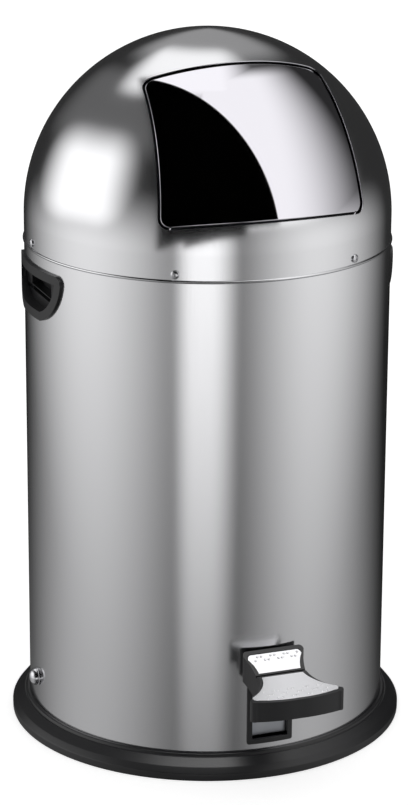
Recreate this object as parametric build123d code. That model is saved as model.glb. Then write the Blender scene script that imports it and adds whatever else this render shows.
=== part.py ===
from build123d import *
import os
from math import asin, atan2, cos, degrees, radians, sin, sqrt

# Kick pedal trash can: stainless drum and dome, visor flap, foot pedal, lift-out liner.
# Millimetres, +Z up. The origin is on the drum's axis at floor level, and the flap and the pedal face -Y.

# Drum
BODY_R = 175.0
SHEET = 0.8
INNER_R = BODY_R - SHEET
BODY_BOTTOM = 7.0
SEAM_Z = 480.0
SLIP = 0.1

# Base moulding
BASE_R = 192.5
BASE_TOP = 22.0
BASE_FLOOR = 3.5
BASE_RELIEF = 1.0
BASE_SCREW_RADIUS = 120.0
BASE_SCREW_ANGLES = (45, 135, 225, 315)
PLATE = 1.2
PLATE_TOP = BODY_BOTTOM + PLATE

# Dome and flap, both round the same centre
DOME_Z = 505.0
DOME_R = 175.0
BEAD_R = 1.3
BEAD_Z = SEAM_Z + 1.6
SCREW_Z = 488.0
SCREW_ANGLES = (-150, -90, -30, 30, 90, 150)
FLAP_TILT = 37.0
FLAP_SWING = 52.0
OPENING_TOP = 80.0
OPENING_TOP_HALF = 87.5
OPENING_SIDE_BOTTOM = -67.5
OPENING_BOTTOM_HALF = 101.0
OPENING_BOTTOM = -80.8
OPENING_CORNER = 13.0
FLAP_GAP = 2.2
FLAP_R = 173.2
FLAP_EDGE = 3.0
BACKING_R = 170.1
BACKING_OVERLAP = 7.0
ARM_R = 169.25
ARM_SHEET = 0.95
ARM_HALF = 11.0
PIVOT_PIN_R = 4.0
ROLLER_ARM = 15.0
ROLLER_R = 4.5
ROLLER_PIN_R = 2.0

# Collar and liner support
COLLAR_TOP = 498.0
COLLAR_BOTTOM = 472.5
RING_Z = 470.0
RING_INNER = 150.4
RING_LIP_TOP = 474.3

# Liner bucket and its bail
LINER_TOP_R = 147.5
LINER_BOTTOM_R = 140.0
LINER_BOTTOM = 100.0
LINER_TOP = 476.8
LINER_SHEET = 0.7
LINER_ROLL = 2.6
BAIL_Z = 448.0
BAIL_WIRE = 2.0
BAIL_REACH = 112.0

# Pedal lever
AXLE_Z = 51.0
AXLE_R = 4.0
AXLE_END = 179.0
RUN = 0.05
LEVER_LEFT = -141.0
LEVER_RIGHT = 24.0
ARM_WIDTH = 30.0
SHIELD_R = 171.2
CRANK_REACH = 72.0
CRANK_X = -138.0

# Pedal block, seen from above: distance in front of the axis
PEDAL_REAR = 178.2
PEDAL_GROOVE = 200.5
PEDAL_GROOVE_WIDTH = 3.0
PEDAL_FRONT = 246.0
PEDAL_FRONT_BOW = 4.5
PEDAL_TREAD_Z = 109.5
PEDAL_KICK_RISE = 16.5
PEDAL_DEPTH = 25.5
PEDAL_REAR_HALF = 30.5
PEDAL_WAIST_HALF = 24.5
PEDAL_FRONT_HALF = 46.0
PEDAL_SCREW_Y = (-212, -229)
INSERT = 1.2

# Slot in the drum for the pedal arm
SLOT_HALF = 19.4
SLOT_BOTTOM = 32.0
SLOT_TOP = 112.0
BEZEL_BAR = 5.0

# Lift rod, which stands near the wall on the left and reaches forward over the liner support
ROD_R = 3.0
ROD_X = -150.0
ROD_Y = 72.0
ROD_TOP = 480.0
SHOE_X = -160.0
SHOE_Y = -14.2
SHOE_TOP = 493.5
GUIDE_HEIGHTS = (140.0, 395.0)

# Side grips: a flat top edge and a round bottom
GRIP_TOP = 468.5
GRIP_BOTTOM = 419.5
GRIP_HALF = 60.0
GRIP_RIM = 6.0
GRIP_PROUD = 2.8
GRIP_DISH_X = 166.0
GRIP_BACK_X = 155.0

FLAP_PLANE = Plane(
    origin=(0, 0, DOME_Z),
    x_dir=(1, 0, 0),
    z_dir=(0, -cos(radians(FLAP_TILT)), sin(radians(FLAP_TILT))),
)


def block(x0, x1, y0, y1, z0, z1):
    """A box between two corners."""
    return Pos((x0 + x1) / 2, (y0 + y1) / 2, (z0 + z1) / 2) * Box(x1 - x0, y1 - y0, z1 - z0)


def upright(radius, x, y, z0, z1):
    """A round bar standing along Z."""
    return Pos(x, y, (z0 + z1) / 2) * Cylinder(radius, z1 - z0)


def crossbar(radius, x0, x1, y, z):
    """A round bar lying along X."""
    return Pos((x0 + x1) / 2, y, z) * Rot(0, 90, 0) * Cylinder(radius, x1 - x0)


def pipe(outer, inner, z0, z1):
    """A tube round the drum's axis."""
    return upright(outer, 0, 0, z0, z1) - upright(inner, 0, 0, z0 - 1, z1 + 1)


def turned(*edges):
    """A solid of revolution from edges drawn with x as radius and y as height."""
    return revolve(Plane.XZ * make_face(edges), Axis.Z)


def cap_arc(radius, height, top):
    """A round cap's arc from its edge up to its top on the axis, with its centre on the axis."""
    centre = (top**2 - height**2 - radius**2) / (2 * (top - height))
    start = degrees(atan2(height - centre, radius))
    return CenterArc((0, centre), top - centre, start, 90 - start)


def ball(radius):
    """A full ball round the dome's centre."""
    return Pos(0, 0, DOME_Z) * Sphere(radius)


def outward(angle, radius, height, piece):
    """Turns a piece drawn along +X so that it points away from the axis, at an angle from the front."""
    return Rot(0, 0, angle - 90) * Pos(radius, 0, height) * piece


def side_prism(outline_points, x0, x1):
    """A plate cut to an outline of (y, z) points, between two planes across X."""
    face = Plane.YZ * make_face(Polyline(*outline_points, close=True))
    return Pos(x0, 0, 0) * extrude(face, amount=x1 - x0)


# Base and drum


def base_moulding():
    outer = [
        Polyline((0, 0), (BASE_R - 1.5, 0), (BASE_R, 1.5), (BASE_R, 6.8)),
        ThreePointArc((BASE_R, 6.8), (BASE_R - 0.5, 8.1), (BASE_R - 1.7, 9.1)),
        ThreePointArc((BASE_R - 1.7, 9.1), (BASE_R - 6.1, 14.8), (BASE_R - 12.0, 19.0)),
        Polyline((BASE_R - 12.0, 19.0), (BASE_R - 13.2, 18.9), (BASE_R - 14.0, 21.2)),
        ThreePointArc((BASE_R - 14.0, 21.2), (BASE_R - 14.5, 21.8), (BASE_R - 15.2, BASE_TOP)),
        Polyline(
            (BASE_R - 15.2, BASE_TOP),
            (BODY_R + SLIP, BASE_TOP),
            (BODY_R + SLIP, BODY_BOTTOM),
            (BODY_R - 9, BODY_BOTTOM),
            (BODY_R - 9, BASE_FLOOR),
            (0, BASE_FLOOR),
            (0, 0),
        ),
    ]
    base = turned(*outer)
    base -= pipe(160, 45, -1, BASE_RELIEF)
    for angle in BASE_SCREW_ANGLES:
        place = Rot(0, 0, angle) * Pos(BASE_SCREW_RADIUS, 0, 0)
        base += place * upright(8, 0, 0, BASE_RELIEF, BODY_BOTTOM)
        base -= place * upright(5, 0, 0, -1, 3.5)
        base -= place * upright(2.1, 0, 0, 0, 10)
    # The shield on the pedal arm dips into this pocket
    return base - block(-24, 24, -174, -150, BASE_FLOOR, BODY_BOTTOM + 1)


def base_screws():
    screws = []
    for angle in BASE_SCREW_ANGLES:
        screw = upright(4.5, 0, 0, 1.0, 3.5) + upright(2.0, 0, 0, 3.5, 12)
        screws.append(Rot(0, 0, angle) * Pos(BASE_SCREW_RADIUS, 0, 0) * screw)
    return Compound(children=screws)


def floor_plate():
    plate = upright(INNER_R - SLIP, 0, 0, BODY_BOTTOM, PLATE_TOP)
    plate += pipe(INNER_R - SLIP, INNER_R - SLIP - PLATE, BODY_BOTTOM, 20)
    plate -= block(-24, 24, -180, -155, 0, 30)
    for angle in BASE_SCREW_ANGLES:
        plate -= Rot(0, 0, angle) * upright(2.05, BASE_SCREW_RADIUS, 0, 0, 20)
    return plate


def grip_outline(inset):
    """The grip's outline in the plane across X: straight on top, swept round below."""
    edges = [
        Line((-GRIP_HALF + 7, GRIP_TOP), (GRIP_HALF - 7, GRIP_TOP)),
        ThreePointArc(
            (GRIP_HALF - 7, GRIP_TOP), (GRIP_HALF - 1.2, GRIP_TOP - 3.6), (GRIP_HALF, GRIP_TOP - 10)
        ),
        ThreePointArc((GRIP_HALF, GRIP_TOP - 10), (45, GRIP_BOTTOM + 11), (25, GRIP_BOTTOM)),
        Line((25, GRIP_BOTTOM), (-25, GRIP_BOTTOM)),
        ThreePointArc((-25, GRIP_BOTTOM), (-45, GRIP_BOTTOM + 11), (-GRIP_HALF, GRIP_TOP - 10)),
        ThreePointArc(
            (-GRIP_HALF, GRIP_TOP - 10), (-GRIP_HALF + 1.2, GRIP_TOP - 3.6), (-GRIP_HALF + 7, GRIP_TOP)
        ),
    ]
    face = make_face(edges)
    if inset:
        face = offset(face, amount=-inset)
    return face


def grip_prism(inset, x0, x1):
    """The grip's outline carried along X."""
    return Pos(x0, 0, 0) * extrude(Plane.YZ * grip_outline(inset), amount=x1 - x0)


def drum():
    shell = pipe(BODY_R, INNER_R, BODY_BOTTOM, SEAM_Z)
    for side in (-1, 1):
        hole = grip_prism(GRIP_RIM, 150, 190)
        shell -= hole if side > 0 else mirror(hole, about=Plane.YZ)
    shell -= block(-SLOT_HALF, SLOT_HALF, -190, -150, SLOT_BOTTOM, SLOT_TOP)
    return shell - crossbar(AXLE_R + SLIP, -190, 190, 0, AXLE_Z)


def liner_support():
    ring = pipe(INNER_R - SLIP, RING_INNER, RING_Z, RING_Z + 1)
    ring += pipe(RING_INNER + 1.2, RING_INNER, RING_Z, RING_LIP_TOP)
    ring += pipe(INNER_R - SLIP, INNER_R - 1.1, RING_Z - 4, RING_Z)
    return ring - upright(5.1, ROD_X, ROD_Y, RING_Z - 5, RING_Z + 5)


def slot_bezel():
    half = SLOT_HALF + 3.4
    low, high = SLOT_BOTTOM - 3.4, SLOT_TOP + 3.4
    flange = block(-half, half, -190, -150, low, high)
    flange = fillet(flange.edges().filter_by(Axis.Y), 2.0) & pipe(BODY_R + 1.8, BODY_R + SLIP, 0, 200)
    edge = SLOT_HALF - 0.2
    spigot = block(-edge, edge, -190, -150, SLOT_BOTTOM + 0.2, SLOT_TOP - 0.2)
    spigot &= pipe(BODY_R + 1, INNER_R - 0.6, 0, 200)
    inner = block(
        -half + BEZEL_BAR, half - BEZEL_BAR, -190, -150, low + BEZEL_BAR, high - BEZEL_BAR
    )
    return flange + spigot - inner


def grip():
    """The right-hand grip: a rim on the drum, a shallow dish, and a finger pocket with a slit under it."""
    rim = grip_prism(0, 150, 190) & pipe(BODY_R + GRIP_PROUD, BODY_R + SLIP, 380, 500)
    wall = grip_prism(GRIP_RIM + 0.4, GRIP_DISH_X - 2, 190) & upright(BODY_R + 1, 0, 0, 380, 500)
    pocket_back = block(GRIP_BACK_X, GRIP_DISH_X, -33, 33, 434, 461)
    cup = rim + wall + pocket_back
    dish = grip_prism(GRIP_RIM + 2.4, GRIP_DISH_X, 190)
    cup -= dish
    pocket = block(GRIP_BACK_X + 2, GRIP_DISH_X + 1, -30, 30, 441, 459)
    slit = block(GRIP_BACK_X + 4, GRIP_DISH_X + 1, -30, 30, 436, 440)
    long_slit = block(GRIP_DISH_X - 1.4, GRIP_DISH_X + 1, -42, 42, 436, 440)
    return cup - pocket - slit - long_slit


def left_grip():
    return mirror(grip(), about=Plane.YZ)


# Axle and pedal lever


def axle():
    return crossbar(AXLE_R, -AXLE_END, AXLE_END, 0, AXLE_Z)


def cap_nuts():
    nut = Rot(0, 90, 0) * turned(
        Polyline((AXLE_R, 0), (9.0, 0), (9.0, 1.2), (8.2, 1.2), (8.2, 2.6)),
        cap_arc(8.2, 2.6, 8.4),
        Polyline((0, 8.4), (0, AXLE_END - BODY_R), (AXLE_R, AXLE_END - BODY_R), (AXLE_R, 0)),
    )
    return Compound(children=[outward(angle, BODY_R, AXLE_Z, nut) for angle in (-90, 90)])


def axle_plates():
    """Curved plates inside the drum that stiffen the wall where the axle passes."""
    plates = []
    ring = pipe(INNER_R - SLIP, INNER_R - 2.1, 30, 74)
    for side in (-1, 1):
        plate = ring & block(min(side * 150, side * 180), max(side * 150, side * 180), -19, 19, 30, 74)
        plates.append(plate - crossbar(AXLE_R, -190, 190, 0, AXLE_Z))
    return Compound(children=plates)


def axle_sleeves():
    """Spacers that keep the lever from sliding along the axle."""
    left = crossbar(6.5, -171.6, LEVER_LEFT - 2.2, 0, AXLE_Z)
    right = crossbar(6.5, LEVER_RIGHT + 2.2, 171.6, 0, AXLE_Z)
    bore = crossbar(AXLE_R, -190, 190, 0, AXLE_Z)
    return Compound(children=[left - bore, right - bore])


def lever_tube():
    return crossbar(7.5, LEVER_LEFT, LEVER_RIGHT, 0, AXLE_Z) - crossbar(5.1, -190, 190, 0, AXLE_Z)


def lever_bushes():
    bushes = []
    for end, inside in ((LEVER_LEFT, LEVER_LEFT + 12), (LEVER_RIGHT, LEVER_RIGHT - 12)):
        outside = end + (1.6 if end > 0 else -1.6)
        bush = crossbar(5.1, min(end, inside), max(end, inside), 0, AXLE_Z)
        bush += crossbar(7.5, min(end, outside), max(end, outside), 0, AXLE_Z)
        bushes.append(bush - crossbar(AXLE_R + RUN, -190, 190, 0, AXLE_Z))
    return Compound(children=bushes)


def arm_outline(inset):
    """Side view of the pressed channel that runs from the axle to the pedal, as (y, z) points."""
    return [
        (11 - inset, AXLE_Z + 5),
        (0, AXLE_Z + 13 - inset),
        (-165, 100 - inset),
        (-238 + inset, 100 - inset),
        (-238 + inset, 88 - 3 * inset),
        (-205, 85 - 3 * inset),
        (-180, 74 - 3 * inset),
        (-165, 72 - 3 * inset),
        (-15, 42 - 3 * inset),
        (11 - inset, AXLE_Z - 9 - 3 * inset),
    ]


def pedal_arm():
    half = ARM_WIDTH / 2
    channel = side_prism(arm_outline(0), -half, half)
    channel -= side_prism(arm_outline(2), -half + 2, half - 2)
    for y in PEDAL_SCREW_Y:
        channel -= upright(1.8, 0, y, 90, 110)
    return channel - crossbar(7.5, -50, 50, 0, AXLE_Z)


def slot_shield():
    """A plate bent round the axle that closes the slot behind the arm at every pedal position."""
    plate = crossbar(SHIELD_R, -21, 21, 0, AXLE_Z) - crossbar(SHIELD_R - 1, -22, 22, 0, AXLE_Z)
    reach = SHIELD_R + 10
    low, high = radians(-5.2), radians(31.5)
    wedge = side_prism(
        [
            (0, AXLE_Z),
            (-reach * cos(low), AXLE_Z + reach * sin(low)),
            (-reach * 1.05, AXLE_Z + 60),
            (-reach * cos(high), AXLE_Z + reach * sin(high)),
        ],
        -30,
        30,
    )
    return (plate & wedge) - side_prism(arm_outline(0), -ARM_WIDTH / 2, ARM_WIDTH / 2)


def lift_crank():
    x0, x1 = CRANK_X - 2, CRANK_X + 2
    plate = crossbar(14, x0, x1, 0, AXLE_Z) + crossbar(9, x0, x1, CRANK_REACH + 0.6, AXLE_Z)
    plate += side_prism(
        [(0, AXLE_Z - 14), (CRANK_REACH, AXLE_Z - 9), (CRANK_REACH, AXLE_Z + 9), (0, AXLE_Z + 14)], x0, x1
    )
    slot_r = ROD_R + 0.4
    slot = crossbar(slot_r, x0 - 1, x1 + 1, CRANK_REACH, AXLE_Z)
    slot += crossbar(slot_r, x0 - 1, x1 + 1, CRANK_REACH + 1.2, AXLE_Z)
    slot += block(x0 - 1, x1 + 1, CRANK_REACH, CRANK_REACH + 1.2, AXLE_Z - slot_r, AXLE_Z + slot_r)
    return plate - slot - crossbar(7.5, -190, 190, 0, AXLE_Z)


def pedal_outline(inset):
    """Plan of the pedal: a kick plate behind a waist, flaring to a wide bowed tread."""
    rear, waist, front = PEDAL_REAR + inset, PEDAL_GROOVE + 6, PEDAL_FRONT - inset
    a, b, c = PEDAL_REAR_HALF - inset, PEDAL_WAIST_HALF - inset, PEDAL_FRONT_HALF - inset
    half = [
        Line((0, -rear), (a - 4, -rear)),
        ThreePointArc((a - 4, -rear), (a - 1.2, -rear - 1.2), (a, -rear - 4)),
        Spline(
            (a, -rear - 4),
            (b + 1.8, -PEDAL_GROOVE + 8),
            (b, -waist),
            (b + 5.6, -front + 21),
            (c - 0.5, -front + 6),
        ),
        ThreePointArc((c - 0.5, -front + 6), (c - 0.9, -front + 1.5), (c - 5, -front)),
        Line((0, -rear), (0, -front - PEDAL_FRONT_BOW)),
    ]
    bow = ThreePointArc(
        (c - 5, -front), (0.5 * c, -front - 0.78 * PEDAL_FRONT_BOW), (0, -front - PEDAL_FRONT_BOW)
    )
    right = make_face([*half, bow])
    return right + mirror(right, about=Plane.YZ)


def pedal_profile(depth_top, depth_bottom, rear, front):
    """Side view of a slice of the pedal, between two depths below its top, as (y, z) points."""
    rise = PEDAL_KICK_RISE
    knee = PEDAL_GROOVE
    return [
        (-rear, PEDAL_TREAD_Z + rise - depth_top),
        (-knee, PEDAL_TREAD_Z - depth_top),
        (-front, PEDAL_TREAD_Z - depth_top),
        (-front, PEDAL_TREAD_Z - depth_bottom),
        (-knee, PEDAL_TREAD_Z - depth_bottom),
        (-rear, PEDAL_TREAD_Z + rise - depth_bottom),
    ]


def pedal_slice(inset, depth_top, depth_bottom):
    """The pedal's plan outline cut between two depths."""
    column = extrude(pedal_outline(inset), amount=200)
    reach = PEDAL_FRONT + PEDAL_FRONT_BOW + 5
    return column & side_prism(pedal_profile(depth_top, depth_bottom, PEDAL_REAR - 1, reach), -60, 60)


def pedal_body():
    body = pedal_slice(0, 0, PEDAL_DEPTH)
    body -= pedal_slice(3.0, 4.4, PEDAL_DEPTH + 6)
    body -= pedal_slice(3.2, -6, INSERT) - block(
        -60, 60, -PEDAL_GROOVE - PEDAL_GROOVE_WIDTH - 1.4, -PEDAL_GROOVE + 1.4, 50, 200
    )
    groove = block(-60, 60, -PEDAL_GROOVE - PEDAL_GROOVE_WIDTH, -PEDAL_GROOVE, PEDAL_TREAD_Z - 1.6, 200)
    # The arm's channel passes through the rear wall, and two bosses stand on its web
    passage = block(-ARM_WIDTH / 2, ARM_WIDTH / 2, -184, -170, 60, 100)
    body -= groove + passage
    for y in PEDAL_SCREW_Y:
        body += upright(6, 0, y, 100, 106)
        body -= upright(1.8, 0, y, 99, 107)
    return body


def insert(low_y, high_y):
    """The part of the inlaid steel sheet that lies between two distances in front of the axis."""
    sheet = pedal_slice(3.7, 0, INSERT)
    return sheet & block(-60, 60, -high_y, -low_y, 50, 200)


def kick_insert():
    return insert(PEDAL_REAR, PEDAL_GROOVE - 1.6)


def tread_insert():
    return insert(PEDAL_GROOVE + PEDAL_GROOVE_WIDTH + 1.6, PEDAL_FRONT + 10)


def pedal_screws():
    """Two screws from inside the channel into the pedal's underside."""
    screws = []
    for y in PEDAL_SCREW_Y:
        screw = upright(4.0, 0, y, 95.6, 98.0) + upright(1.8, 0, y, 98.0, 107.0)
        screws.append(screw)
    return Compound(children=screws)


def stop_buffers():
    """Rubber blocks that the lever meets at the two ends of its travel."""
    down = block(-17, 17, -118, -102, PLATE_TOP, 40.2)
    rest = upright(8, CRANK_X, 74, PLATE_TOP, AXLE_Z - 9.4)
    return Compound(children=[down, rest])


# Lift rod


def lift_rod():
    path = FilletPolyline(
        (-131, ROD_Y, AXLE_Z),
        (ROD_X, ROD_Y, AXLE_Z),
        (ROD_X, ROD_Y, ROD_TOP),
        (SHOE_X, SHOE_Y, ROD_TOP),
        (SHOE_X, SHOE_Y, SHOE_TOP - 4),
        radius=[7, 8, 5.2],
    )
    section = Plane(origin=path @ 0, z_dir=path % 0) * Circle(ROD_R)
    return sweep(section, path=path)


def rod_clip():
    clip = crossbar(6.5, -133.4, -132, ROD_Y, AXLE_Z)
    return clip - crossbar(ROD_R, -140, -120, ROD_Y, AXLE_Z)


def rod_shoe():
    shoe = upright(5, SHOE_X, SHOE_Y, SHOE_TOP - 3, SHOE_TOP)
    shoe += upright(4.4, SHOE_X, SHOE_Y, SHOE_TOP - 4, SHOE_TOP - 3)
    return fillet(shoe.edges().sort_by(Axis.Z)[-1], 0.8) - lift_rod()


def rod_guides():
    """Blocks on the drum's wall that the rod slides in."""
    guides = []
    rod_distance = sqrt(ROD_X**2 + ROD_Y**2)
    for height in GUIDE_HEIGHTS:
        guide = block(rod_distance - 7, rod_distance + 12, -9, 9, height - 8, height + 8)
        guide = fillet(guide.edges().filter_by(Axis.Z).sort_by(Axis.X)[:2], 5)
        guide &= upright(INNER_R - SLIP, 0, 0, height - 10, height + 10)
        guide -= upright(ROD_R + 0.35, rod_distance, 0, height - 10, height + 10)
        guides.append(Rot(0, 0, 180 - 25.641) * guide)
    return Compound(children=guides)


def rod_grommet():
    grommet = upright(5.0, ROD_X, ROD_Y, RING_Z - 1.4, RING_Z + 2.4)
    grommet += upright(7.4, ROD_X, ROD_Y, RING_Z + 1, RING_Z + 2.4)
    return grommet - upright(ROD_R + 0.35, ROD_X, ROD_Y, RING_Z - 5, RING_Z + 5)


# Dome


def opening_face(grow):
    """The opening's outline on a plane square to the middle of the flap, grown by some millimetres."""
    top, low, bottom = OPENING_TOP, OPENING_SIDE_BOTTOM, OPENING_BOTTOM
    wide, narrow = OPENING_BOTTOM_HALF, OPENING_TOP_HALF
    face = make_face(
        [
            Line((-narrow, top), (narrow, top)),
            Line((narrow, top), (wide, low)),
            ThreePointArc((wide, low), (0, bottom), (-wide, low)),
            Line((-wide, low), (-narrow, top)),
        ]
    )
    face = fillet(face.vertices(), OPENING_CORNER)
    if grow:
        face = offset(face, amount=grow)
    return FLAP_PLANE * face


def opening_prism(grow):
    """That outline carried forward through the dome."""
    return extrude(opening_face(grow), amount=DOME_R + 20)


def dome_shell():
    dome = turned(
        Line((BODY_R, BEAD_Z), (BODY_R, DOME_Z)),
        CenterArc((0, DOME_Z), DOME_R, 0, 90),
        Line((0, DOME_Z + DOME_R), (0, DOME_Z + DOME_R - SHEET)),
        CenterArc((0, DOME_Z), DOME_R - SHEET, 0, 90),
        Polyline((INNER_R, DOME_Z), (INNER_R, BEAD_Z), (BODY_R, BEAD_Z)),
    )
    dome += Pos(0, 0, BEAD_Z) * Torus(BODY_R, BEAD_R)
    dome -= opening_prism(0)
    for angle in SCREW_ANGLES:
        dome -= outward(angle, 160, SCREW_Z, crossbar(2.1, 0, 30, 0, 0))
    return dome


def collar():
    ring = turned(
        Polyline(
            (INNER_R - 0.05, COLLAR_TOP),
            (INNER_R - 0.05, BEAD_Z + 1.4),
            (INNER_R - 0.5, BEAD_Z + 0.6),
            (INNER_R - 0.5, COLLAR_BOTTOM + 1.5),
            (INNER_R - 1.2, COLLAR_BOTTOM),
            (INNER_R - 1.7, COLLAR_BOTTOM),
            (INNER_R - 1.7, BEAD_Z + 0.6),
            (INNER_R - 1.3, BEAD_Z + 1.4),
            (INNER_R - 1.3, COLLAR_TOP),
            close=True,
        )
    )
    for angle in SCREW_ANGLES:
        ring -= outward(angle, 160, SCREW_Z, crossbar(2.1, 0, 30, 0, 0))
    return ring


def dome_screws():
    head = Rot(0, 90, 0) * turned(
        Polyline((0, 0), (4.0, 0), (4.0, 0.8)),
        cap_arc(4.0, 0.8, 2.4),
        Line((0, 2.4), (0, 0)),
    )
    screws = []
    for angle in SCREW_ANGLES:
        end = -9.4 if abs(angle) == 90 else -7.4
        screws.append(outward(angle, BODY_R, SCREW_Z, head + crossbar(2.0, end, 0.2, 0, 0)))
    return Compound(children=screws)


def dome_nuts():
    nut = Rot(0, 90, 0) * extrude(RegularPolygon(4.04, 6), amount=3) - crossbar(2.0, -5, 5, 0, 0)
    nuts = []
    for angle in SCREW_ANGLES:
        seat = INNER_R - 3.4 - 3 if abs(angle) == 90 else INNER_R - 1.45 - 3
        nuts.append(outward(angle, seat, SCREW_Z, nut))
    return Compound(children=nuts)


def pivot_brackets():
    """Plates inside the collar that carry the flap's pivot pins, held by the screws at the sides."""
    outer, inner = INNER_R - 1.4, INNER_R - 3.3
    shell = turned(
        Line((outer, 483.8), (outer, DOME_Z)),
        CenterArc((0, DOME_Z), outer, 0, 8),
        Line(
            (outer * cos(radians(8)), DOME_Z + outer * sin(radians(8))),
            (inner * cos(radians(8)), DOME_Z + inner * sin(radians(8))),
        ),
        CenterArc((0, DOME_Z), inner, 0, 8),
        Polyline((inner, DOME_Z), (inner, 483.8), (outer, 483.8)),
    )
    brackets = []
    for side in (-1, 1):
        plate = shell & block(min(side * 140, side * 180), max(side * 140, side * 180), -15, 15, 480, 540)
        plate -= crossbar(2.1, -190, 190, 0, SCREW_Z)
        brackets.append(plate - crossbar(PIVOT_PIN_R, -190, 190, 0, DOME_Z))
    return Compound(children=brackets)


def pivot_pins():
    pins = []
    for side in (-1, 1):
        near, far = side * 160.0, side * (INNER_R - 1.5)
        pins.append(crossbar(PIVOT_PIN_R, min(near, far), max(near, far), 0, DOME_Z))
    return Compound(children=pins)


def pivot_clips():
    clips = []
    for side in (-1, 1):
        near, far = side * 161.0, side * 162.2
        clip = crossbar(7, min(near, far), max(near, far), 0, DOME_Z)
        clips.append(clip - crossbar(PIVOT_PIN_R, -190, 190, 0, DOME_Z))
    return Compound(children=clips)


# Flap


def flap_panel():
    """The mirror-finished outer skin, with its edge turned in all round."""
    skin = (ball(FLAP_R) - ball(FLAP_R - FLAP_EDGE)) & opening_prism(-FLAP_GAP)
    return skin - (ball(FLAP_R - SHEET) & opening_prism(-FLAP_GAP - SHEET))


def flap_backing():
    sheet = (ball(BACKING_R) - ball(BACKING_R - SHEET)) & opening_prism(BACKING_OVERLAP)
    return sheet - rivet_shanks()


def roller_centre():
    """The roller's place as y and z, half the swing below level so that it travels evenly about level."""
    drop = radians(FLAP_SWING / 2)
    return -ROLLER_ARM * cos(drop), DOME_Z - ROLLER_ARM * sin(drop)


def flap_arm(side):
    """A strap that follows the dome from the flap's edge to the pivot."""
    shell = ball(ARM_R) - ball(ARM_R - ARM_SHEET)
    strap = FLAP_PLANE.location * Pos(side * 130, 0, 95) * Box(88, 2 * ARM_HALF, 190)
    hub = crossbar(11.5, min(side * 150, side * 180), max(side * 150, side * 180), 0, DOME_Z)
    shape = strap + hub
    if side < 0:
        y, z = roller_centre()
        lug = Box(30, ROLLER_ARM, 10)
        shape += crossbar(5, -180, -150, y, z)
        shape += Pos(-165, y / 2, (DOME_Z + z) / 2) * Rot(FLAP_SWING / 2, 0, 0) * lug
    arm = (shell & shape) - rivet_shanks()
    arm -= crossbar(6.0, -190, 190, 0, DOME_Z)
    if side < 0:
        arm -= crossbar(ROLLER_PIN_R, -190, -140, y, z)
    return arm


def left_flap_arm():
    return flap_arm(-1)


def right_flap_arm():
    return flap_arm(1)


def flap_bushes():
    bushes = []
    for side in (-1, 1):
        x = [side * value for value in (163.0, 169.3, 170.7)]
        bush = crossbar(6.0, min(x[0], x[1]), max(x[0], x[1]), 0, DOME_Z)
        bush += crossbar(8.0, min(x[1], x[2]), max(x[1], x[2]), 0, DOME_Z)
        bushes.append(bush - crossbar(PIVOT_PIN_R + RUN, -190, 190, 0, DOME_Z))
    return Compound(children=bushes)


def flap_roller():
    y, z = roller_centre()
    return crossbar(ROLLER_R, -164, -156, y, z) - crossbar(ROLLER_PIN_R, -170, -150, y, z)


def roller_pin():
    y, z = roller_centre()
    pin = crossbar(ROLLER_PIN_R, -169.6, -154.6, y, z) + crossbar(3.4, -155.8, -154.6, y, z)
    return pin + crossbar(3.0, -169.6, -168.9, y, z)


def at_rivets(piece):
    """Copies a piece drawn on the Z axis to each rivet, square to the dome."""
    copies = []
    for side in (-1, 1):
        for lateral, t in ((92, -5), (92, 5), (102, -5), (102, 5)):
            across = degrees(asin(side * lateral / BACKING_R))
            along = degrees(asin(t / BACKING_R))
            copies.append(FLAP_PLANE.location * Rot(-along, 0, 0) * Rot(0, across, 0) * piece)
    return Compound(children=copies)


def rivet_shanks():
    return at_rivets(upright(1.5, 0, 0, BACKING_R - 3, BACKING_R))


def flap_rivets():
    """Rivets that hold the two arms to the backing."""
    seat = ARM_R - ARM_SHEET - 0.04
    return at_rivets(upright(1.5, 0, 0, seat, BACKING_R - 0.05) + upright(3.0, 0, 0, seat - 1, seat))


# Liner and bail


def liner_radius(height):
    """The liner's outer radius at a height, on its straight taper."""
    rise = (height - LINER_BOTTOM) / (LINER_TOP - LINER_BOTTOM)
    return LINER_BOTTOM_R + (LINER_TOP_R - LINER_BOTTOM_R) * rise


def liner_bucket():
    corner = 8.0
    side_r = liner_radius(LINER_BOTTOM + corner)
    bucket = turned(
        Line((0, LINER_BOTTOM), (LINER_BOTTOM_R - corner, LINER_BOTTOM)),
        ThreePointArc(
            (LINER_BOTTOM_R - corner, LINER_BOTTOM),
            (LINER_BOTTOM_R - 2.3, LINER_BOTTOM + 2.4),
            (side_r, LINER_BOTTOM + corner),
        ),
        Polyline(
            (side_r, LINER_BOTTOM + corner),
            (LINER_TOP_R, LINER_TOP),
            (LINER_TOP_R - LINER_SHEET, LINER_TOP),
            (side_r - LINER_SHEET, LINER_BOTTOM + corner),
        ),
        ThreePointArc(
            (side_r - LINER_SHEET, LINER_BOTTOM + corner),
            (LINER_BOTTOM_R - 2.9, LINER_BOTTOM + 3.0),
            (LINER_BOTTOM_R - corner, LINER_BOTTOM + LINER_SHEET),
        ),
        Polyline(
            (LINER_BOTTOM_R - corner, LINER_BOTTOM + LINER_SHEET), (0, LINER_BOTTOM + LINER_SHEET), (0, LINER_BOTTOM)
        ),
    )
    bucket += Pos(0, 0, LINER_TOP) * Torus(LINER_TOP_R + 2.1, LINER_ROLL)
    for side in (-1, 1):
        bucket -= Pos(0, side * 146, BAIL_Z) * Rot(90, 0, 0) * Cylinder(3.2, 12)
    return bucket


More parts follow.
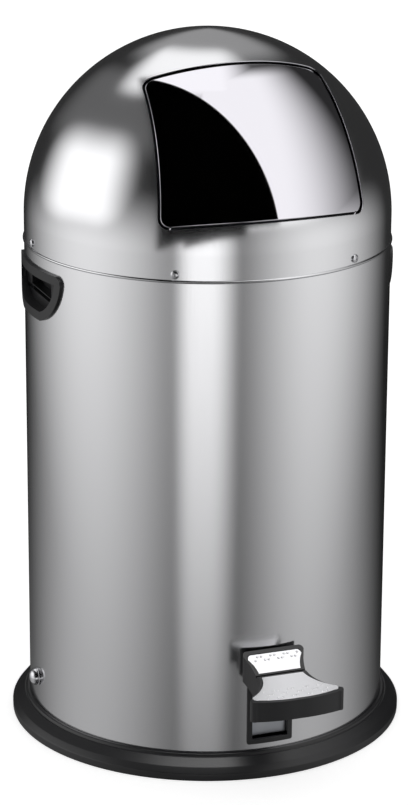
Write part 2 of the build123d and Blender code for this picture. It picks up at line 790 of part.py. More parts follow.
def bail_grommets():
    grommets = []
    wall = liner_radius(BAIL_Z)
    for side in (-1, 1):
        body = Rot(-90 * side, 0, 0) * (Cylinder(3.2, 3.6) + Pos(0, 0, 1.2) * Cylinder(5.4, 1.2))
        bore = Rot(90, 0, 0) * Cylinder(BAIL_WIRE + 0.08, 20)
        grommets.append(Pos(0, side * (wall - 0.1), BAIL_Z) * (body - bore))
    return Compound(children=grommets)


def bail_wire():
    half = [(0, 151), (0, 138.5), (62, 122), (BAIL_REACH, 78)]
    points = [(x, -y, BAIL_Z) for x, y in half] + [(x, y, BAIL_Z) for x, y in reversed(half)]
    path = FilletPolyline(*points, radius=[6, 40, 26, 26, 40, 6])
    wire = sweep(Plane(origin=path @ 0, z_dir=path % 0) * Circle(BAIL_WIRE), path=path)
    for side in (-1, 1):
        wire += Pos(0, side * 150.6, BAIL_Z) * Rot(90, 0, 0) * Cylinder(3.2, 0.8)
    return wire


def bail_grip():
    grip_bar = Pos(BAIL_REACH, 0, BAIL_Z) * Rot(90, 0, 0) * Cylinder(7.5, 100)
    grip_bar = fillet(grip_bar.edges().filter_by(GeomType.CIRCLE), 2.5)
    return grip_bar - Pos(BAIL_REACH, 0, BAIL_Z) * Rot(90, 0, 0) * Cylinder(BAIL_WIRE, 110)


PIECES = {
    "base_moulding": base_moulding,
    "base_screws": base_screws,
    "floor_plate": floor_plate,
    "drum": drum,
    "liner_support": liner_support,
    "slot_bezel": slot_bezel,
    "right_grip": grip,
    "left_grip": left_grip,
    "axle": axle,
    "axle_cap_nuts": cap_nuts,
    "axle_plates": axle_plates,
    "axle_sleeves": axle_sleeves,
    "stop_buffers": stop_buffers,
    "rod_guides": rod_guides,
    "rod_grommet": rod_grommet,
    "lever_tube": lever_tube,
    "lever_bushes": lever_bushes,
    "pedal_arm": pedal_arm,
    "slot_shield": slot_shield,
    "lift_crank": lift_crank,
    "pedal_body": pedal_body,
    "kick_insert": kick_insert,
    "tread_insert": tread_insert,
    "pedal_screws": pedal_screws,
    "lift_rod": lift_rod,
    "rod_clip": rod_clip,
    "rod_shoe": rod_shoe,
    "dome_shell": dome_shell,
    "dome_collar": collar,
    "dome_screws": dome_screws,
    "dome_nuts": dome_nuts,
    "pivot_brackets": pivot_brackets,
    "pivot_pins": pivot_pins,
    "pivot_clips": pivot_clips,
    "flap_panel": flap_panel,
    "flap_backing": flap_backing,
    "left_flap_arm": left_flap_arm,
    "right_flap_arm": right_flap_arm,
    "flap_bushes": flap_bushes,
    "flap_roller": flap_roller,
    "roller_pin": roller_pin,
    "flap_rivets": flap_rivets,
    "liner_bucket": liner_bucket,
    "bail_grommets": bail_grommets,
    "bail_wire": bail_wire,
    "bail_grip": bail_grip,
}

os.makedirs("parts", exist_ok=True)
for name, make in PIECES.items():
    export_step(make(), f"parts/{name}.step")
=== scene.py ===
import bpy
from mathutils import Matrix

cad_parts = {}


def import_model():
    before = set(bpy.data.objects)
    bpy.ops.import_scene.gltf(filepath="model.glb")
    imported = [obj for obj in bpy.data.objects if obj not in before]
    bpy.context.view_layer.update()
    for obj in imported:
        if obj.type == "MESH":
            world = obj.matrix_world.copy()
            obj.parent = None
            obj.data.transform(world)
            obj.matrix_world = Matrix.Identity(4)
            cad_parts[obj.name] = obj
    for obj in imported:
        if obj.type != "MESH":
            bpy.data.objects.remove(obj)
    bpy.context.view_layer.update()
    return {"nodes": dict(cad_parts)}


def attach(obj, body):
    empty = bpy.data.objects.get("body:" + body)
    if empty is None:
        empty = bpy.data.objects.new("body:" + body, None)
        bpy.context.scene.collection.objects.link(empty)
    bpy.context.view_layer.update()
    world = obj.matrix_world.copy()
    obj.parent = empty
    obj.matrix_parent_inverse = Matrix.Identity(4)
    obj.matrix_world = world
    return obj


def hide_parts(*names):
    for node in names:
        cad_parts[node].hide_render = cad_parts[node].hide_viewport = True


bl_info = {
    "name": "Kick Pedal Bin",
    "version": (1, 0, 0),
    "blender": (4, 5, 0),
    "location": "3D View > Sidebar > Bin",
    "description": "Dresses the CAD model of a domed kick pedal bin and builds its studio",
    "category": "Object",
}

from math import acos, asin, atan2, ceil, cos, degrees, pi, radians, sin, sqrt, tan

import bmesh
import bpy
import numpy as np
from bpy.props import FloatProperty, FloatVectorProperty, PointerProperty
from mathutils import Matrix, Vector
from mathutils.geometry import delaunay_2d_cdt

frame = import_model()

# Shapes are worked out in millimetres, as in the CAD source, and become metres in the finished mesh.
MM = 0.001
# How many degrees a mesh has to bend by for an edge: on a CAD mesh, a lathed outline and a carved mesh
SHARP, CREASE, CARVED = 32, 28, 30


# Colours and nodes


def linear(code):
    """Linear RGBA from an sRGB hex code."""
    parts = [int(code[i : i + 2], 16) / 255 for i in (1, 3, 5)]
    return (*[c / 12.92 if c <= 0.04045 else ((c + 0.055) / 1.055) ** 2.4 for c in parts], 1.0)


def add(tree, kind, inputs=None, **settings):
    """Adds a node. inputs maps a socket's name or number to a value, an output, or a node's first output."""
    node = tree.nodes.new(kind)
    for key, value in settings.items():
        setattr(node, key, value)
    for key, value in (inputs or {}).items():
        if isinstance(value, bpy.types.Node):
            value = value.outputs[0]
        if isinstance(value, bpy.types.NodeSocket):
            tree.links.new(value, node.inputs[key])
        else:
            node.inputs[key].default_value = value
    return node


def math(tree, operation, *values):
    return add(tree, "ShaderNodeMath", dict(enumerate(values)), operation=operation)


def vector_math(tree, operation, *values):
    return add(tree, "ShaderNodeVectorMath", dict(enumerate(values)), operation=operation)


def pattern(tree, place, kind, scale):
    """Crystals, noise drawn out by a stretch, or even noise of some detail. scale is in waves per metre."""
    if kind == "crystals":
        cells = add(tree, "ShaderNodeTexVoronoi", {"Vector": place, "Scale": scale}, distance="EUCLIDEAN")
        return add(tree, "ShaderNodeSeparateColor", {0: cells.outputs["Color"]})
    plan = {"Vector": place, "Scale": scale, "Detail": kind}
    if isinstance(kind, tuple):
        mapped = add(tree, "ShaderNodeMapping", {"Vector": place, "Scale": kind})
        plan.update({"Vector": mapped, "Detail": 3.0, "Roughness": 0.6})
    return add(tree, "ShaderNodeTexNoise", plan)


def fresh_tree(owner):
    """The empty node tree of a new material or world."""
    owner.use_nodes = True
    owner.node_tree.nodes.clear()
    return owner.node_tree


def made_of(name, colour, roughness, *patterns, **more):
    """A material with a Principled shader, whose constants sit on its own sockets. Each pattern has a kind, a
    scale and effects: rough and colours are the two values that it runs between, and depth is how far it raises
    the surface, in metres."""
    material = bpy.data.materials.new(name)
    tree = fresh_tree(material)
    constants = {"Base Color": linear(colour), "Roughness": roughness, **more}
    shader = add(tree, "ShaderNodeBsdfPrincipled", constants)
    add(tree, "ShaderNodeOutputMaterial", {"Surface": shader})
    place = add(tree, "ShaderNodeTexCoord").outputs["Object"]
    for kind, scale, effects in patterns:
        made = pattern(tree, place, kind, scale)
        if "rough" in effects:
            low, high = effects["rough"]
            spread = add(tree, "ShaderNodeMapRange", {0: made, 3: low, 4: high})
            tree.links.new(spread.outputs[0], shader.inputs["Roughness"])
        if "colours" in effects:
            low, high = (linear(code) for code in effects["colours"])
            mixed = add(tree, "ShaderNodeMix", {0: made, 6: low, 7: high}, data_type="RGBA")
            tree.links.new(mixed.outputs[2], shader.inputs["Base Color"])
        if "depth" in effects:
            bump = add(tree, "ShaderNodeBump", {"Height": made, "Distance": effects["depth"], "Strength": 1.0})
            tree.links.new(bump.outputs[0], shader.inputs["Normal"])
    return material


# Finishes


def satin_stainless():
    # 18/0 stainless sheet, rolled and lightly brushed along its height: long soft reflections
    grain = ((1.0, 1.0, 0.02), 900, dict(rough=(0.12, 0.18), depth=0.0000012))
    return made_of("satin stainless sheet", "#E3E3E5", 0.12, grain, Metallic=1.0)


def mirror_stainless():
    # Stainless polished on a wheel: a clear mirror with only faint polishing marks
    marks = ((1.0, 0.15, 0.15), 220, dict(rough=(0.02, 0.05)))
    return made_of("mirror-polished stainless", "#E4E2E8", 0.03, marks, Metallic=1.0)


def dimpled_steel():
    # Bright aluminium-white steel inlay, peened, so that it scatters light and looks almost white
    grain = (2.0, 900, dict(rough=(0.36, 0.5), depth=0.00002))
    return made_of("bright peened steel", "#F4F4F6", 0.42, grain, Metallic=0.7)


def black_abs():
    # Moulded ABS with a fine spark-eroded texture: black, with wide soft highlights
    texture = (2.0, 1400, dict(rough=(0.3, 0.42), depth=0.00001))
    return made_of("moulded black ABS", "#161618", 0.36, texture, IOR=1.53)


def bright_plate():
    # Nickel-chromium plate on small turned fasteners
    marks = (2.0, 700, dict(rough=(0.2, 0.3)))
    return made_of("nickel-chromium plate", "#DADADD", 0.25, marks, Metallic=1.0)


def zinc_plate():
    # Pressed mild steel, zinc-plated and passivated: grey with a faint blue cast and rolling marks
    cloud = ((1.0, 1.0, 0.4), 60, dict(colours=("#A9ADB6", "#C6C8CB")))
    grain = ((1.0, 1.0, 0.1), 700, dict(rough=(0.27, 0.42), depth=0.000006))
    return made_of("zinc-plated steel", "#B9BCC2", 0.34, cloud, grain, Metallic=1.0)


def galvanised():
    # Hot-dip galvanised sheet: crystals of zinc, each a slightly different grey
    crystals = ("crystals", 75, dict(rough=(0.3, 0.5), colours=("#989EA3", "#BCC0C3")))
    return made_of("galvanised sheet", "#A7ACB0", 0.4, crystals, Metallic=1.0)


def natural_nylon():
    # Natural polyamide: milky, slightly warm, with a waxy sheen
    return made_of("natural nylon", "#DEDBD0", 0.42, (2.0, 160, dict(rough=(0.36, 0.5))), IOR=1.53)


def grey_polypropylene():
    # Moulded polypropylene with a matt texture
    return made_of("matt grey polypropylene", "#4A4B4E", 0.55, (2.0, 1200, dict(depth=0.00002)), IOR=1.49)


def black_rubber():
    # Moulded natural rubber: black, dull and a little dusty
    bloom = (4.0, 90, dict(colours=("#161616", "#262626")))
    return made_of("moulded black rubber", "#1C1C1C", 0.8, bloom, IOR=1.52)


FINISHES = {
    "satin_steel": satin_stainless,
    "mirror_steel": mirror_stainless,
    "pedal_steel": dimpled_steel,
    "black_plastic": black_abs,
    "bright_hardware": bright_plate,
    "zinc_steel": zinc_plate,
    "slot_steel": zinc_plate,
    "galvanised_steel": galvanised,
    "white_nylon": natural_nylon,
    "grey_plastic": grey_polypropylene,
    "black_rubber": black_rubber,
}
made_finishes = {}


def finish_for(slot):
    """The one material that stands for a slot of the record."""
    make = FINISHES[slot]
    if make not in made_finishes:
        made_finishes[make] = make()
    return made_finishes[make]


# Meshes


class Shape:
    """Collects faces in millimetres with exact normals, and merges the points that they share."""

    def __init__(self):
        self.points, self.faces, self.normals, self.seen = [], [], [], {}

    def corner(self, point):
        key = tuple(round(c, 4) for c in point)
        if key not in self.seen:
            self.seen[key] = len(self.points)
            self.points.append(point)
        return self.seen[key]

    def face(self, corners, normals=None):
        """Adds a face. With no normals it is flat, and corners that coincide are left out."""
        index, kept = [], []
        for n, point in enumerate(corners):
            i = self.corner(point)
            if i not in index:
                index.append(i)
                kept.append(n)
        if len(index) < 3:
            return
        if normals is None:
            a, b, c = (Vector(corners[kept[k]]) for k in (0, 1, -1))
            flat = (b - a).cross(c - a).normalized()
            normals = [flat] * len(corners)
        self.faces.append(index)
        self.normals.extend(normals[n] for n in kept)

    def finish(self, name):
        mesh = bpy.data.meshes.new(name)
        mesh.from_pydata([Vector(p) * MM for p in self.points], [], self.faces)
        mesh.shade_smooth()
        mesh.normals_split_custom_set([tuple(n) for n in self.normals])
        return new_object(name, mesh)


def new_object(name, data):
    made = bpy.data.objects.new(name, data)
    bpy.context.scene.collection.objects.link(made)
    return made


def dress(piece, body, slot, *nodes):
    """Gives a finished piece its material and its body, and hides the CAD nodes that it stands for."""
    piece.data.materials.clear()
    piece.data.materials.append(finish_for(slot))
    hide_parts(*nodes)
    lit = bpy.data.collections.get(LAMP_GROUP)
    if lit and slot in LAMP_SLOTS:
        lit.objects.link(piece)
    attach(piece, body)
    return piece


def rounded(points, steps=5):
    """A polyline of (x, y, radius) corners with each corner rounded to its radius."""
    made = []
    count = len(points)
    for i, (x, y, radius) in enumerate(points):
        here = Vector((x, y))
        if not radius:
            made.append(here)
            continue
        before = (Vector(points[i - 1][:2]) - here).normalized()
        after = (Vector(points[(i + 1) % count][:2]) - here).normalized()
        half = acos(max(-1, min(1, before.dot(after)))) / 2
        centre = here + (before + after).normalized() * (radius / sin(half))
        start = here + before * (radius / tan(half)) - centre
        end = here + after * (radius / tan(half)) - centre
        swing = atan2(start.x * end.y - start.y * end.x, start.dot(end))
        for k in range(steps + 1):
            turn = swing * k / steps
            made.append(centre + Matrix.Rotation(turn, 2) @ start)
    return made


def lathe(shape, profile, segments=192, turn=None):
    """Turns a closed outline of (radius, height) points round Z, with creases only where it bends sharply."""
    points = [Vector(p[:2]) for p in profile]
    count = len(points)
    if sum(points[i - 1].cross(points[i]) for i in range(count)) < 0:
        points.reverse()
    normals = []
    for i in range(count):
        along = points[(i + 1) % count] - points[i]
        normals.append(Vector((along.y, -along.x)).normalized() if along.length > 1e-9 else Vector((0, 0)))
    limit = cos(radians(CREASE))
    for i in range(count):
        a, b = points[i], points[(i + 1) % count]
        if (a - b).length < 1e-9 or (a.x < 1e-6 and b.x < 1e-6):
            continue
        here = normals[i]
        ends = []
        for other in (normals[i - 1], normals[(i + 1) % count]):
            ends.append((here + other).normalized() if here.dot(other) > limit else here)
        spin(shape, (a.x, a.y, ends[0]), (b.x, b.y, ends[1]), segments, turn or Matrix.Identity(4))


def spin(shape, first, last, segments, turn):
    """Turns the line between two points round Z. Each is its radius, height and normal."""
    facing = turn.to_3x3()
    for j in range(segments):
        corners, outs = [], []
        for (r, z, n), k in ((first, j), (first, j + 1), (last, j + 1), (last, j)):
            angle = 2 * pi * (k % segments) / segments
            corners.append(turn @ Vector((r * cos(angle), r * sin(angle), z)))
            outs.append(facing @ Vector((n[0] * cos(angle), n[0] * sin(angle), n[1])))
        shape.face(corners, outs)


def inside(points, loop):
    """Which of some flat points lie inside a closed loop."""
    x, y = points[:, 0], points[:, 1]
    result = np.zeros(len(points), bool)
    for (ax, ay), (bx, by) in zip(loop, np.roll(loop, -1, axis=0)):
        if ay != by:
            crossing = ax + (y - ay) * (bx - ax) / (by - ay)
            result ^= ((ay > y) != (by > y)) & (x < crossing)
    return result


def near(points, loop, gap):
    """Which of some flat points lie within a gap of a loop's own points."""
    away = np.full(len(points), 1e9)
    for corner in loop:
        away = np.minimum(away, np.hypot(points[:, 0] - corner[0], points[:, 1] - corner[1]))
    return away < gap


def flat_triangles(outline, holes, fill, gap):
    """Triangles that fill an outline apart from its holes. fill holds loose points for the middle."""
    fill = np.array(fill, float).reshape(-1, 2)
    loops = [np.array(loop, float) for loop in [outline, *holes]]
    keep = inside(fill, loops[0]) & ~near(fill, loops[0], gap)
    for hole in loops[1:]:
        keep &= ~inside(fill, hole) & ~near(fill, hole, gap)
    points, edges = [Vector(p) for p in fill[keep]], []
    for loop in loops:
        start = len(points)
        points += [Vector(p) for p in loop]
        edges += [(start + k, start + (k + 1) % len(loop)) for k in range(len(loop))]
    points, _, faces, *_ = delaunay_2d_cdt(points, edges, [], 0, 1e-7)
    flat = np.array([tuple(p) for p in points])
    middles = np.array([flat[list(face)].mean(axis=0) for face in faces])
    wanted = inside(middles, loops[0])
    for hole in loops[1:]:
        wanted &= ~inside(middles, hole)
    return flat, [tuple(face) for face, yes in zip(faces, wanted) if yes]


def sheet(shape, flat, faces, outer, inner, rim=None):
    """Makes a sheet of two surfaces from flat triangles and closes its edges.
    outer and inner each turn a flat point into a place and a normal. rim says which edges get a wall."""
    tops = [outer(p) for p in flat]
    lows = [inner(p) for p in flat]
    edges = {}
    for a, b, c in faces:
        shape.face([tops[i][0] for i in (a, b, c)], [tops[i][1] for i in (a, b, c)])
        shape.face([lows[i][0] for i in (c, b, a)], [lows[i][1] for i in (c, b, a)])
        for edge in ((a, b), (b, c), (c, a)):
            edges[edge] = edges.get(edge[::-1]) is None
            if edge[::-1] in edges:
                edges[edge] = edges[edge[::-1]] = False
    for (a, b), open_edge in edges.items():
        if open_edge and (rim is None or rim(flat[a], flat[b])):
            shape.face([tops[b][0], tops[a][0], lows[a][0], lows[b][0]])


def shade(mesh, crease=None):
    """Drops a mesh's stored normals and shades it smooth, but sharp where it bends past a crease in degrees."""
    stored = mesh.attributes.get("custom_normal")
    if stored:
        mesh.attributes.remove(stored)
    mesh.shade_smooth()
    if crease:
        mesh.set_sharp_from_angle(angle=radians(crease))


def softened(node, name, width, steps=2):
    """A fresh mesh of a CAD node, merged, with its sharp edges rounded to a width in millimetres."""
    mesh = frame["nodes"][node].data.copy()
    work = bmesh.new()
    work.from_mesh(mesh)
    bmesh.ops.remove_doubles(work, verts=work.verts, dist=0.000002)
    bmesh.ops.dissolve_limit(work, angle_limit=radians(0.6), verts=work.verts, edges=work.edges)
    work.to_mesh(mesh)
    work.free()
    shade(mesh, None if width else SHARP)
    piece = new_object(name, mesh)
    if width:
        bevel = piece.modifiers.new("soft edges", "BEVEL")
        bevel.width, bevel.segments = width * MM, steps
        bevel.limit_method, bevel.angle_limit = "ANGLE", radians(SHARP)
        bevel.harden_normals = bevel.use_clamp_overlap = True
    return plain(piece)


def adopt(node, name, body, slot, width, steps=2):
    """Makes a finished piece of a CAD node as it is, with soft edges."""
    return dress(softened(node, name, width, steps), body, slot, node)


def plain(piece):
    """Turns an object with modifiers into a plain mesh at the origin."""
    bpy.context.view_layer.update()
    seen = piece.evaluated_get(bpy.context.evaluated_depsgraph_get())
    mesh = bpy.data.meshes.new_from_object(seen)
    piece.modifiers.clear()
    if isinstance(piece.data, bpy.types.Curve):
        name = piece.name
        bpy.data.objects.remove(piece)
        return new_object(name, mesh)
    piece.data = mesh
    return piece


def carve(piece, operation, blocks):
    """Adds blocks to a piece or cuts them out. A block is round or square, its middle and its size in mm."""
    work = bmesh.new()
    for is_round, middle, size in blocks:
        at = Matrix.Translation(Vector(middle) * MM) @ Matrix.Diagonal((*[c * MM for c in size], 1))
        if is_round:
            ends = dict(cap_ends=True, radius1=0.5, radius2=0.5, depth=1)
            bmesh.ops.create_cone(work, segments=32, matrix=at, **ends)
        else:
            bmesh.ops.create_cube(work, size=1, matrix=at)
    mesh = bpy.data.meshes.new("tool")
    work.to_mesh(mesh)
    work.free()
    tool = new_object("tool", mesh)
    made = piece.modifiers.new("carve", "BOOLEAN")
    made.object, made.operation, made.solver = tool, operation, "EXACT"
    plain(piece)
    bpy.data.objects.remove(tool)
    shade(piece.data, CARVED)


# Geometry Nodes


def new_tree(name, **sizes):
    """A geometry tree with named inputs. Returns the tree and a function that gives an input's socket."""
    tree = bpy.data.node_groups.new(name, "GeometryNodeTree")

    def socket(label, kind, side="INPUT"):
        return tree.interface.new_socket(label, in_out=side, socket_type=f"NodeSocket{kind}")

    socket("Geometry", "Geometry")
    for label, value in sizes.items():
        made = socket(label.replace("_", " "), "Int" if isinstance(value, int) else "Float")
        made.default_value = value
    socket("Finish", "Material")
    socket("Geometry", "Geometry", "OUTPUT")
    source = add(tree, "NodeGroupInput")
    return tree, lambda label: source.outputs[label]


def close_tree(tree, geometry, given):
    """Ends a tree in Realize Instances and Set Material."""
    real = add(tree, "GeometryNodeRealizeInstances", {"Geometry": geometry})
    painted = add(tree, "GeometryNodeSetMaterial", {"Geometry": real, "Material": given("Finish")})
    add(tree, "NodeGroupOutput", {"Geometry": painted})
    return tree


def grow(piece, tree, slot, **values):
    """Runs a geometry tree on a piece, with its inputs set by their identifiers, and leaves a plain mesh."""
    made = piece.modifiers.new(tree.name, "NODES")
    made.node_group = tree
    ids = {item.name: item.identifier for item in tree.interface.items_tree if item.in_out == "INPUT"}
    for label, value in {**values, "Finish": finish_for(slot)}.items():
        made[ids[label.replace("_", " ")]] = value
    return plain(piece)


def ring_tree():
    """Copies a piece drawn along +X to places spaced evenly round Z."""
    tree, given = new_tree("Pieces round a ring", Count=6, Radius=0.175, Height=0.0, First_Angle=0.0)
    share = math(tree, "DIVIDE", add(tree, "GeometryNodeInputIndex"), given("Count"))
    angle = math(tree, "MULTIPLY_ADD", share, 2 * pi, given("First Angle"))
    x, y = (math(tree, "MULTIPLY", math(tree, part, angle), given("Radius")) for part in ("COSINE", "SINE"))
    spot = add(tree, "ShaderNodeCombineXYZ", {0: x, 1: y, 2: given("Height")})
    points = add(tree, "GeometryNodePoints", {"Count": given("Count")})
    spread = add(tree, "GeometryNodeSetPosition", {"Geometry": points, "Position": spot})
    turn = add(tree, "ShaderNodeCombineXYZ", {2: angle})
    plan = {"Points": spread, "Instance": given("Geometry"), "Rotation": turn}
    return close_tree(tree, add(tree, "GeometryNodeInstanceOnPoints", plan), given)


def dimple_tree():
    """Raises small domes on a flat panel, in staggered rows and only where the panel is under them."""
    above = 0.05
    tree, given = new_tree(
        "Dimples in staggered rows",
        Width=0.1, Length=0.06, Across=20, Along=12, Forward=0.0, Size=0.001, Height=0.0003,
    )
    names = {"Size X": "Width", "Size Y": "Length", "Vertices X": "Across", "Vertices Y": "Along"}
    grid = add(tree, "GeometryNodeMeshGrid", {socket: given(label) for socket, label in names.items()})
    odd = math(tree, "MODULO", add(tree, "GeometryNodeInputIndex"), 2.0)
    pitch = math(tree, "DIVIDE", given("Width"), given("Across"))
    aside = math(tree, "MULTIPLY", math(tree, "MULTIPLY", odd, pitch), 0.5)
    shift = add(tree, "ShaderNodeCombineXYZ", {0: aside, 1: given("Forward"), 2: above})
    plan = {"Geometry": given("Geometry"), "Attribute": add(tree, "GeometryNodeInputPosition")}
    panel = add(tree, "GeometryNodeAttributeStatistic", plan, data_type="FLOAT_VECTOR")
    middle = vector_math(tree, "ADD", panel.outputs["Mean"], shift)
    moved = add(tree, "GeometryNodeSetPosition", {"Geometry": grid, "Offset": middle})
    down = add(tree, "ShaderNodeCombineXYZ", {2: -1.0})
    plan = {"Target Geometry": given("Geometry"), "Ray Direction": down, "Ray Length": 4 * above}
    hit = add(tree, "GeometryNodeRaycast", plan)
    missed = add(tree, "FunctionNodeBooleanMath", {0: hit.outputs["Is Hit"]}, operation="NOT")
    plan = {"Geometry": moved, "Name": "missed", "Value": missed}
    marked = add(tree, "GeometryNodeStoreNamedAttribute", plan, data_type="BOOLEAN")
    landed = add(tree, "GeometryNodeSetPosition", {"Geometry": marked, "Position": hit.outputs["Hit Position"]})
    flag = add(tree, "GeometryNodeInputNamedAttribute", {"Name": "missed"}, data_type="BOOLEAN")
    kept = add(tree, "GeometryNodeDeleteGeometry", {"Geometry": landed, "Selection": flag})
    ball = add(tree, "GeometryNodeMeshUVSphere", {"Segments": 10, "Rings": 6, "Radius": 1.0})
    ball = add(tree, "GeometryNodeSetShadeSmooth", {"Geometry": ball})
    size = add(tree, "ShaderNodeCombineXYZ", {0: given("Size"), 1: given("Size"), 2: given("Height")})
    copies = add(tree, "GeometryNodeInstanceOnPoints", {"Points": kept, "Instance": ball, "Scale": size})
    return close_tree(tree, copies, given)


def wire_tree():
    """Rounds a polyline's corners and gives it a round section."""
    tree, given = new_tree("Bent wire", Thickness=0.004, Bend=0.008)
    plan = {"Curve": given("Geometry"), "Radius": given("Bend"), "Count": 10, "Limit Radius": True}
    bent = add(tree, "GeometryNodeFilletCurve", plan, mode="POLY")
    half = math(tree, "MULTIPLY", given("Thickness"), 0.5)
    section = add(tree, "GeometryNodeCurvePrimitiveCircle", {"Resolution": 20, "Radius": half})
    tube = add(tree, "GeometryNodeCurveToMesh", {"Curve": bent, "Profile Curve": section, "Fill Caps": True})
    smooth = add(tree, "GeometryNodeSetShadeSmooth", {"Geometry": tube})
    return close_tree(tree, smooth, given)


def wire(name, route, thickness, bend, slot):
    """A bent wire along a route of points in millimetres."""
    curve = bpy.data.curves.new(name, "CURVE")
    curve.dimensions = "3D"
    line = curve.splines.new("POLY")
    line.points.add(len(route) - 1)
    for point, spot in zip(line.points, route):
        point.co = (*[c * MM for c in spot], 1)
    return grow(new_object(name, curve), wire_tree(), slot, Thickness=thickness * MM, Bend=bend * MM)


# Sizes that a user may change


class BinSizes(bpy.types.PropertyGroup):
    """Main sizes of the bin."""

    drum_radius: FloatProperty(
        name="Drum radius", description="Outer radius of the drum and the dome", default=0.175, unit="LENGTH"
    )
    sheet: FloatProperty(
        name="Sheet", description="Thickness of the stainless sheet", default=0.0008,
        unit="LENGTH", precision=4,
    )
    drum_bottom: FloatProperty(
        name="Drum bottom", description="Height of the drum's lower edge", default=0.007, unit="LENGTH"
    )
    seam: FloatProperty(
        name="Seam", description="Height at which the dome sits on the drum", default=0.48, unit="LENGTH"
    )
    base_radius: FloatProperty(
        name="Base radius", description="Outer radius of the base moulding", default=0.1925, unit="LENGTH"
    )
    dome_height: FloatProperty(
        name="Dome centre", description="Height of the dome's centre", default=0.505, unit="LENGTH"
    )
    flap_tilt: FloatProperty(
        name="Flap tilt", description="How far the middle of the flap looks up",
        default=radians(37), subtype="ANGLE",
    )
    flap_gap: FloatProperty(
        name="Flap gap", description="Gap between the flap and the dome", default=0.0022,
        unit="LENGTH", precision=4,
    )


class StudioSettings(bpy.types.PropertyGroup):
    """Camera, floor and light."""

    azimuth: FloatProperty(
        name="Azimuth", description="Camera's place round the bin", default=radians(-20.5), subtype="ANGLE"
    )
    distance: FloatProperty(
        name="Distance", description="Level distance from the bin's axis", default=2.664, unit="LENGTH"
    )
    height: FloatProperty(name="Height", description="Camera height", default=1.157, unit="LENGTH")
    pitch: FloatProperty(
        name="Pitch", description="How far down it looks", default=radians(17.57), subtype="ANGLE"
    )
    yaw: FloatProperty(
        name="Yaw", description="How far left of the axis it looks", default=radians(0.034), subtype="ANGLE"
    )
    roll: FloatProperty(name="Roll", description="Turn about its own axis", default=0.0051, subtype="ANGLE")
    lens: FloatProperty(name="Lens", description="Focal length on a 36 mm frame", default=128.5, unit="CAMERA")
    ambient: FloatProperty(
        name="Ambient", description="Level of the soft light from all round", default=0.85,
        min=0, subtype="FACTOR",
    )
    overhead: FloatProperty(
        name="Overhead", description="Power of the overhead lamp, in watts", default=18.0, min=0
    )
    floor: FloatVectorProperty(
        name="Floor", description="Colour of the floor", size=3, default=(0.8, 0.8, 0.8), subtype="COLOR"
    )


# The stage


# The soft lamp overhead only lights the black mouldings and the pedal's inlays. Sizes in metres: its width and
# depth, how far before the bin's axis and how high it hangs, and the height that it looks at.
LAMP_GROUP = "lit by the overhead lamp"
LAMP_SLOTS = ("black_plastic", "pedal_steel")
LAMP_SIZE, LAMP_AHEAD, LAMP_HEIGHT, LAMP_AIM = (1.6, 0.8), 0.75, 2.3, 0.1
# The floor reaches so far that no horizon shows, and its glow brings it up to white for the camera
FLOOR_REACH, FLOOR_GLOW = 60, 0.6

# The studio as the camera sees it mirrored in the dome and the drum. Every light panel is given by the part of
# the bin that shows it: how far round from the camera (left edge, full, full, right edge) and how far up the
# dome (low edge, full, full, high edge), in degrees of the surface's normal, then its brightness.
PANELS = (
    ((-82, -40, -38, 8), (-50, -25, 0, 22), 1.27),
    ((-13, -4, 1, 13), (-9, 0.5, 4, 9), 1.75),
    ((-2, 34, 35, 77), (-50, -25, 3, 20), 1.2),
    ((-70, -49, -36, -20), (-2, 12, 25, 40), 1.8),
    ((-88, -60, -20, -8), (22, 36, 52, 62), 0.17),
    ((-6, -2, 24, 62), (6, 9, 56, 63), 1.42),
    ((-54, -36, 6, 34), (45, 53, 66, 77), 1.5),
    ((-80, -50, 45, 80), (58, 70, 91, 92), 0.42),
)
STUDIO_DARK = 0.035
# How much of each light is left at the foot of the drum, and the angles between which it falls to that
FOOT_LEVEL, FOOT_LOW, FOOT_HIGH = 0.45, -5.0, 0.0
# The black flag over the flap, along the flap's own axes in ball radii: its left edge and how much that slants,
# its lower edge, and the span over which that lies lower
FLAG_LEFT, FLAG_SLANT, FLAG_LOW, FLAG_LOWER, FLAG_LOWER_SPAN = -0.542, 0.0915, -0.47, -0.50, (-0.46, -0.15)
# The flag's round edge: its middle, seen from the camera, and the cosine of its reach
FLAG_MIDDLE, FLAG_REACH = (-0.5374, -0.8433, 0.0094), 0.5756
# Half the width over which the straight edges and the round edge fade
FLAG_SOFT, FLAG_ROUND_SOFT = 0.006, 0.002


class BIN_OT_stage(bpy.types.Operator):
    """Camera, pale floor and soft light"""

    bl_idname = "bin.stage"
    bl_label = "Stage"

    def execute(self, context):
        studio = context.scene.bin_studio
        make_camera(context.scene, studio)
        make_floor(studio)
        make_light(context.scene, studio)
        make_lamp(studio)
        context.scene.view_settings.view_transform = "Standard"
        return {"FINISHED"}


def before(studio, distance, height):
    """A place on the camera's side, at a level distance from the bin's axis."""
    return Vector((sin(studio.azimuth) * distance, -cos(studio.azimuth) * distance, height))


def make_lamp(studio):
    """A soft lamp overhead, linked to the pieces that it may light."""
    data = bpy.data.lights.new("overhead", "AREA")
    data.shape, data.energy = "RECTANGLE", studio.overhead
    data.size, data.size_y = LAMP_SIZE
    lamp = new_object("overhead", data)
    lamp.location = before(studio, LAMP_AHEAD, LAMP_HEIGHT)
    lamp.rotation_euler = (Vector((0, 0, LAMP_AIM)) - lamp.location).to_track_quat("-Z", "Y").to_euler()
    lamp.light_linking.receiver_collection = bpy.data.collections.new(LAMP_GROUP)


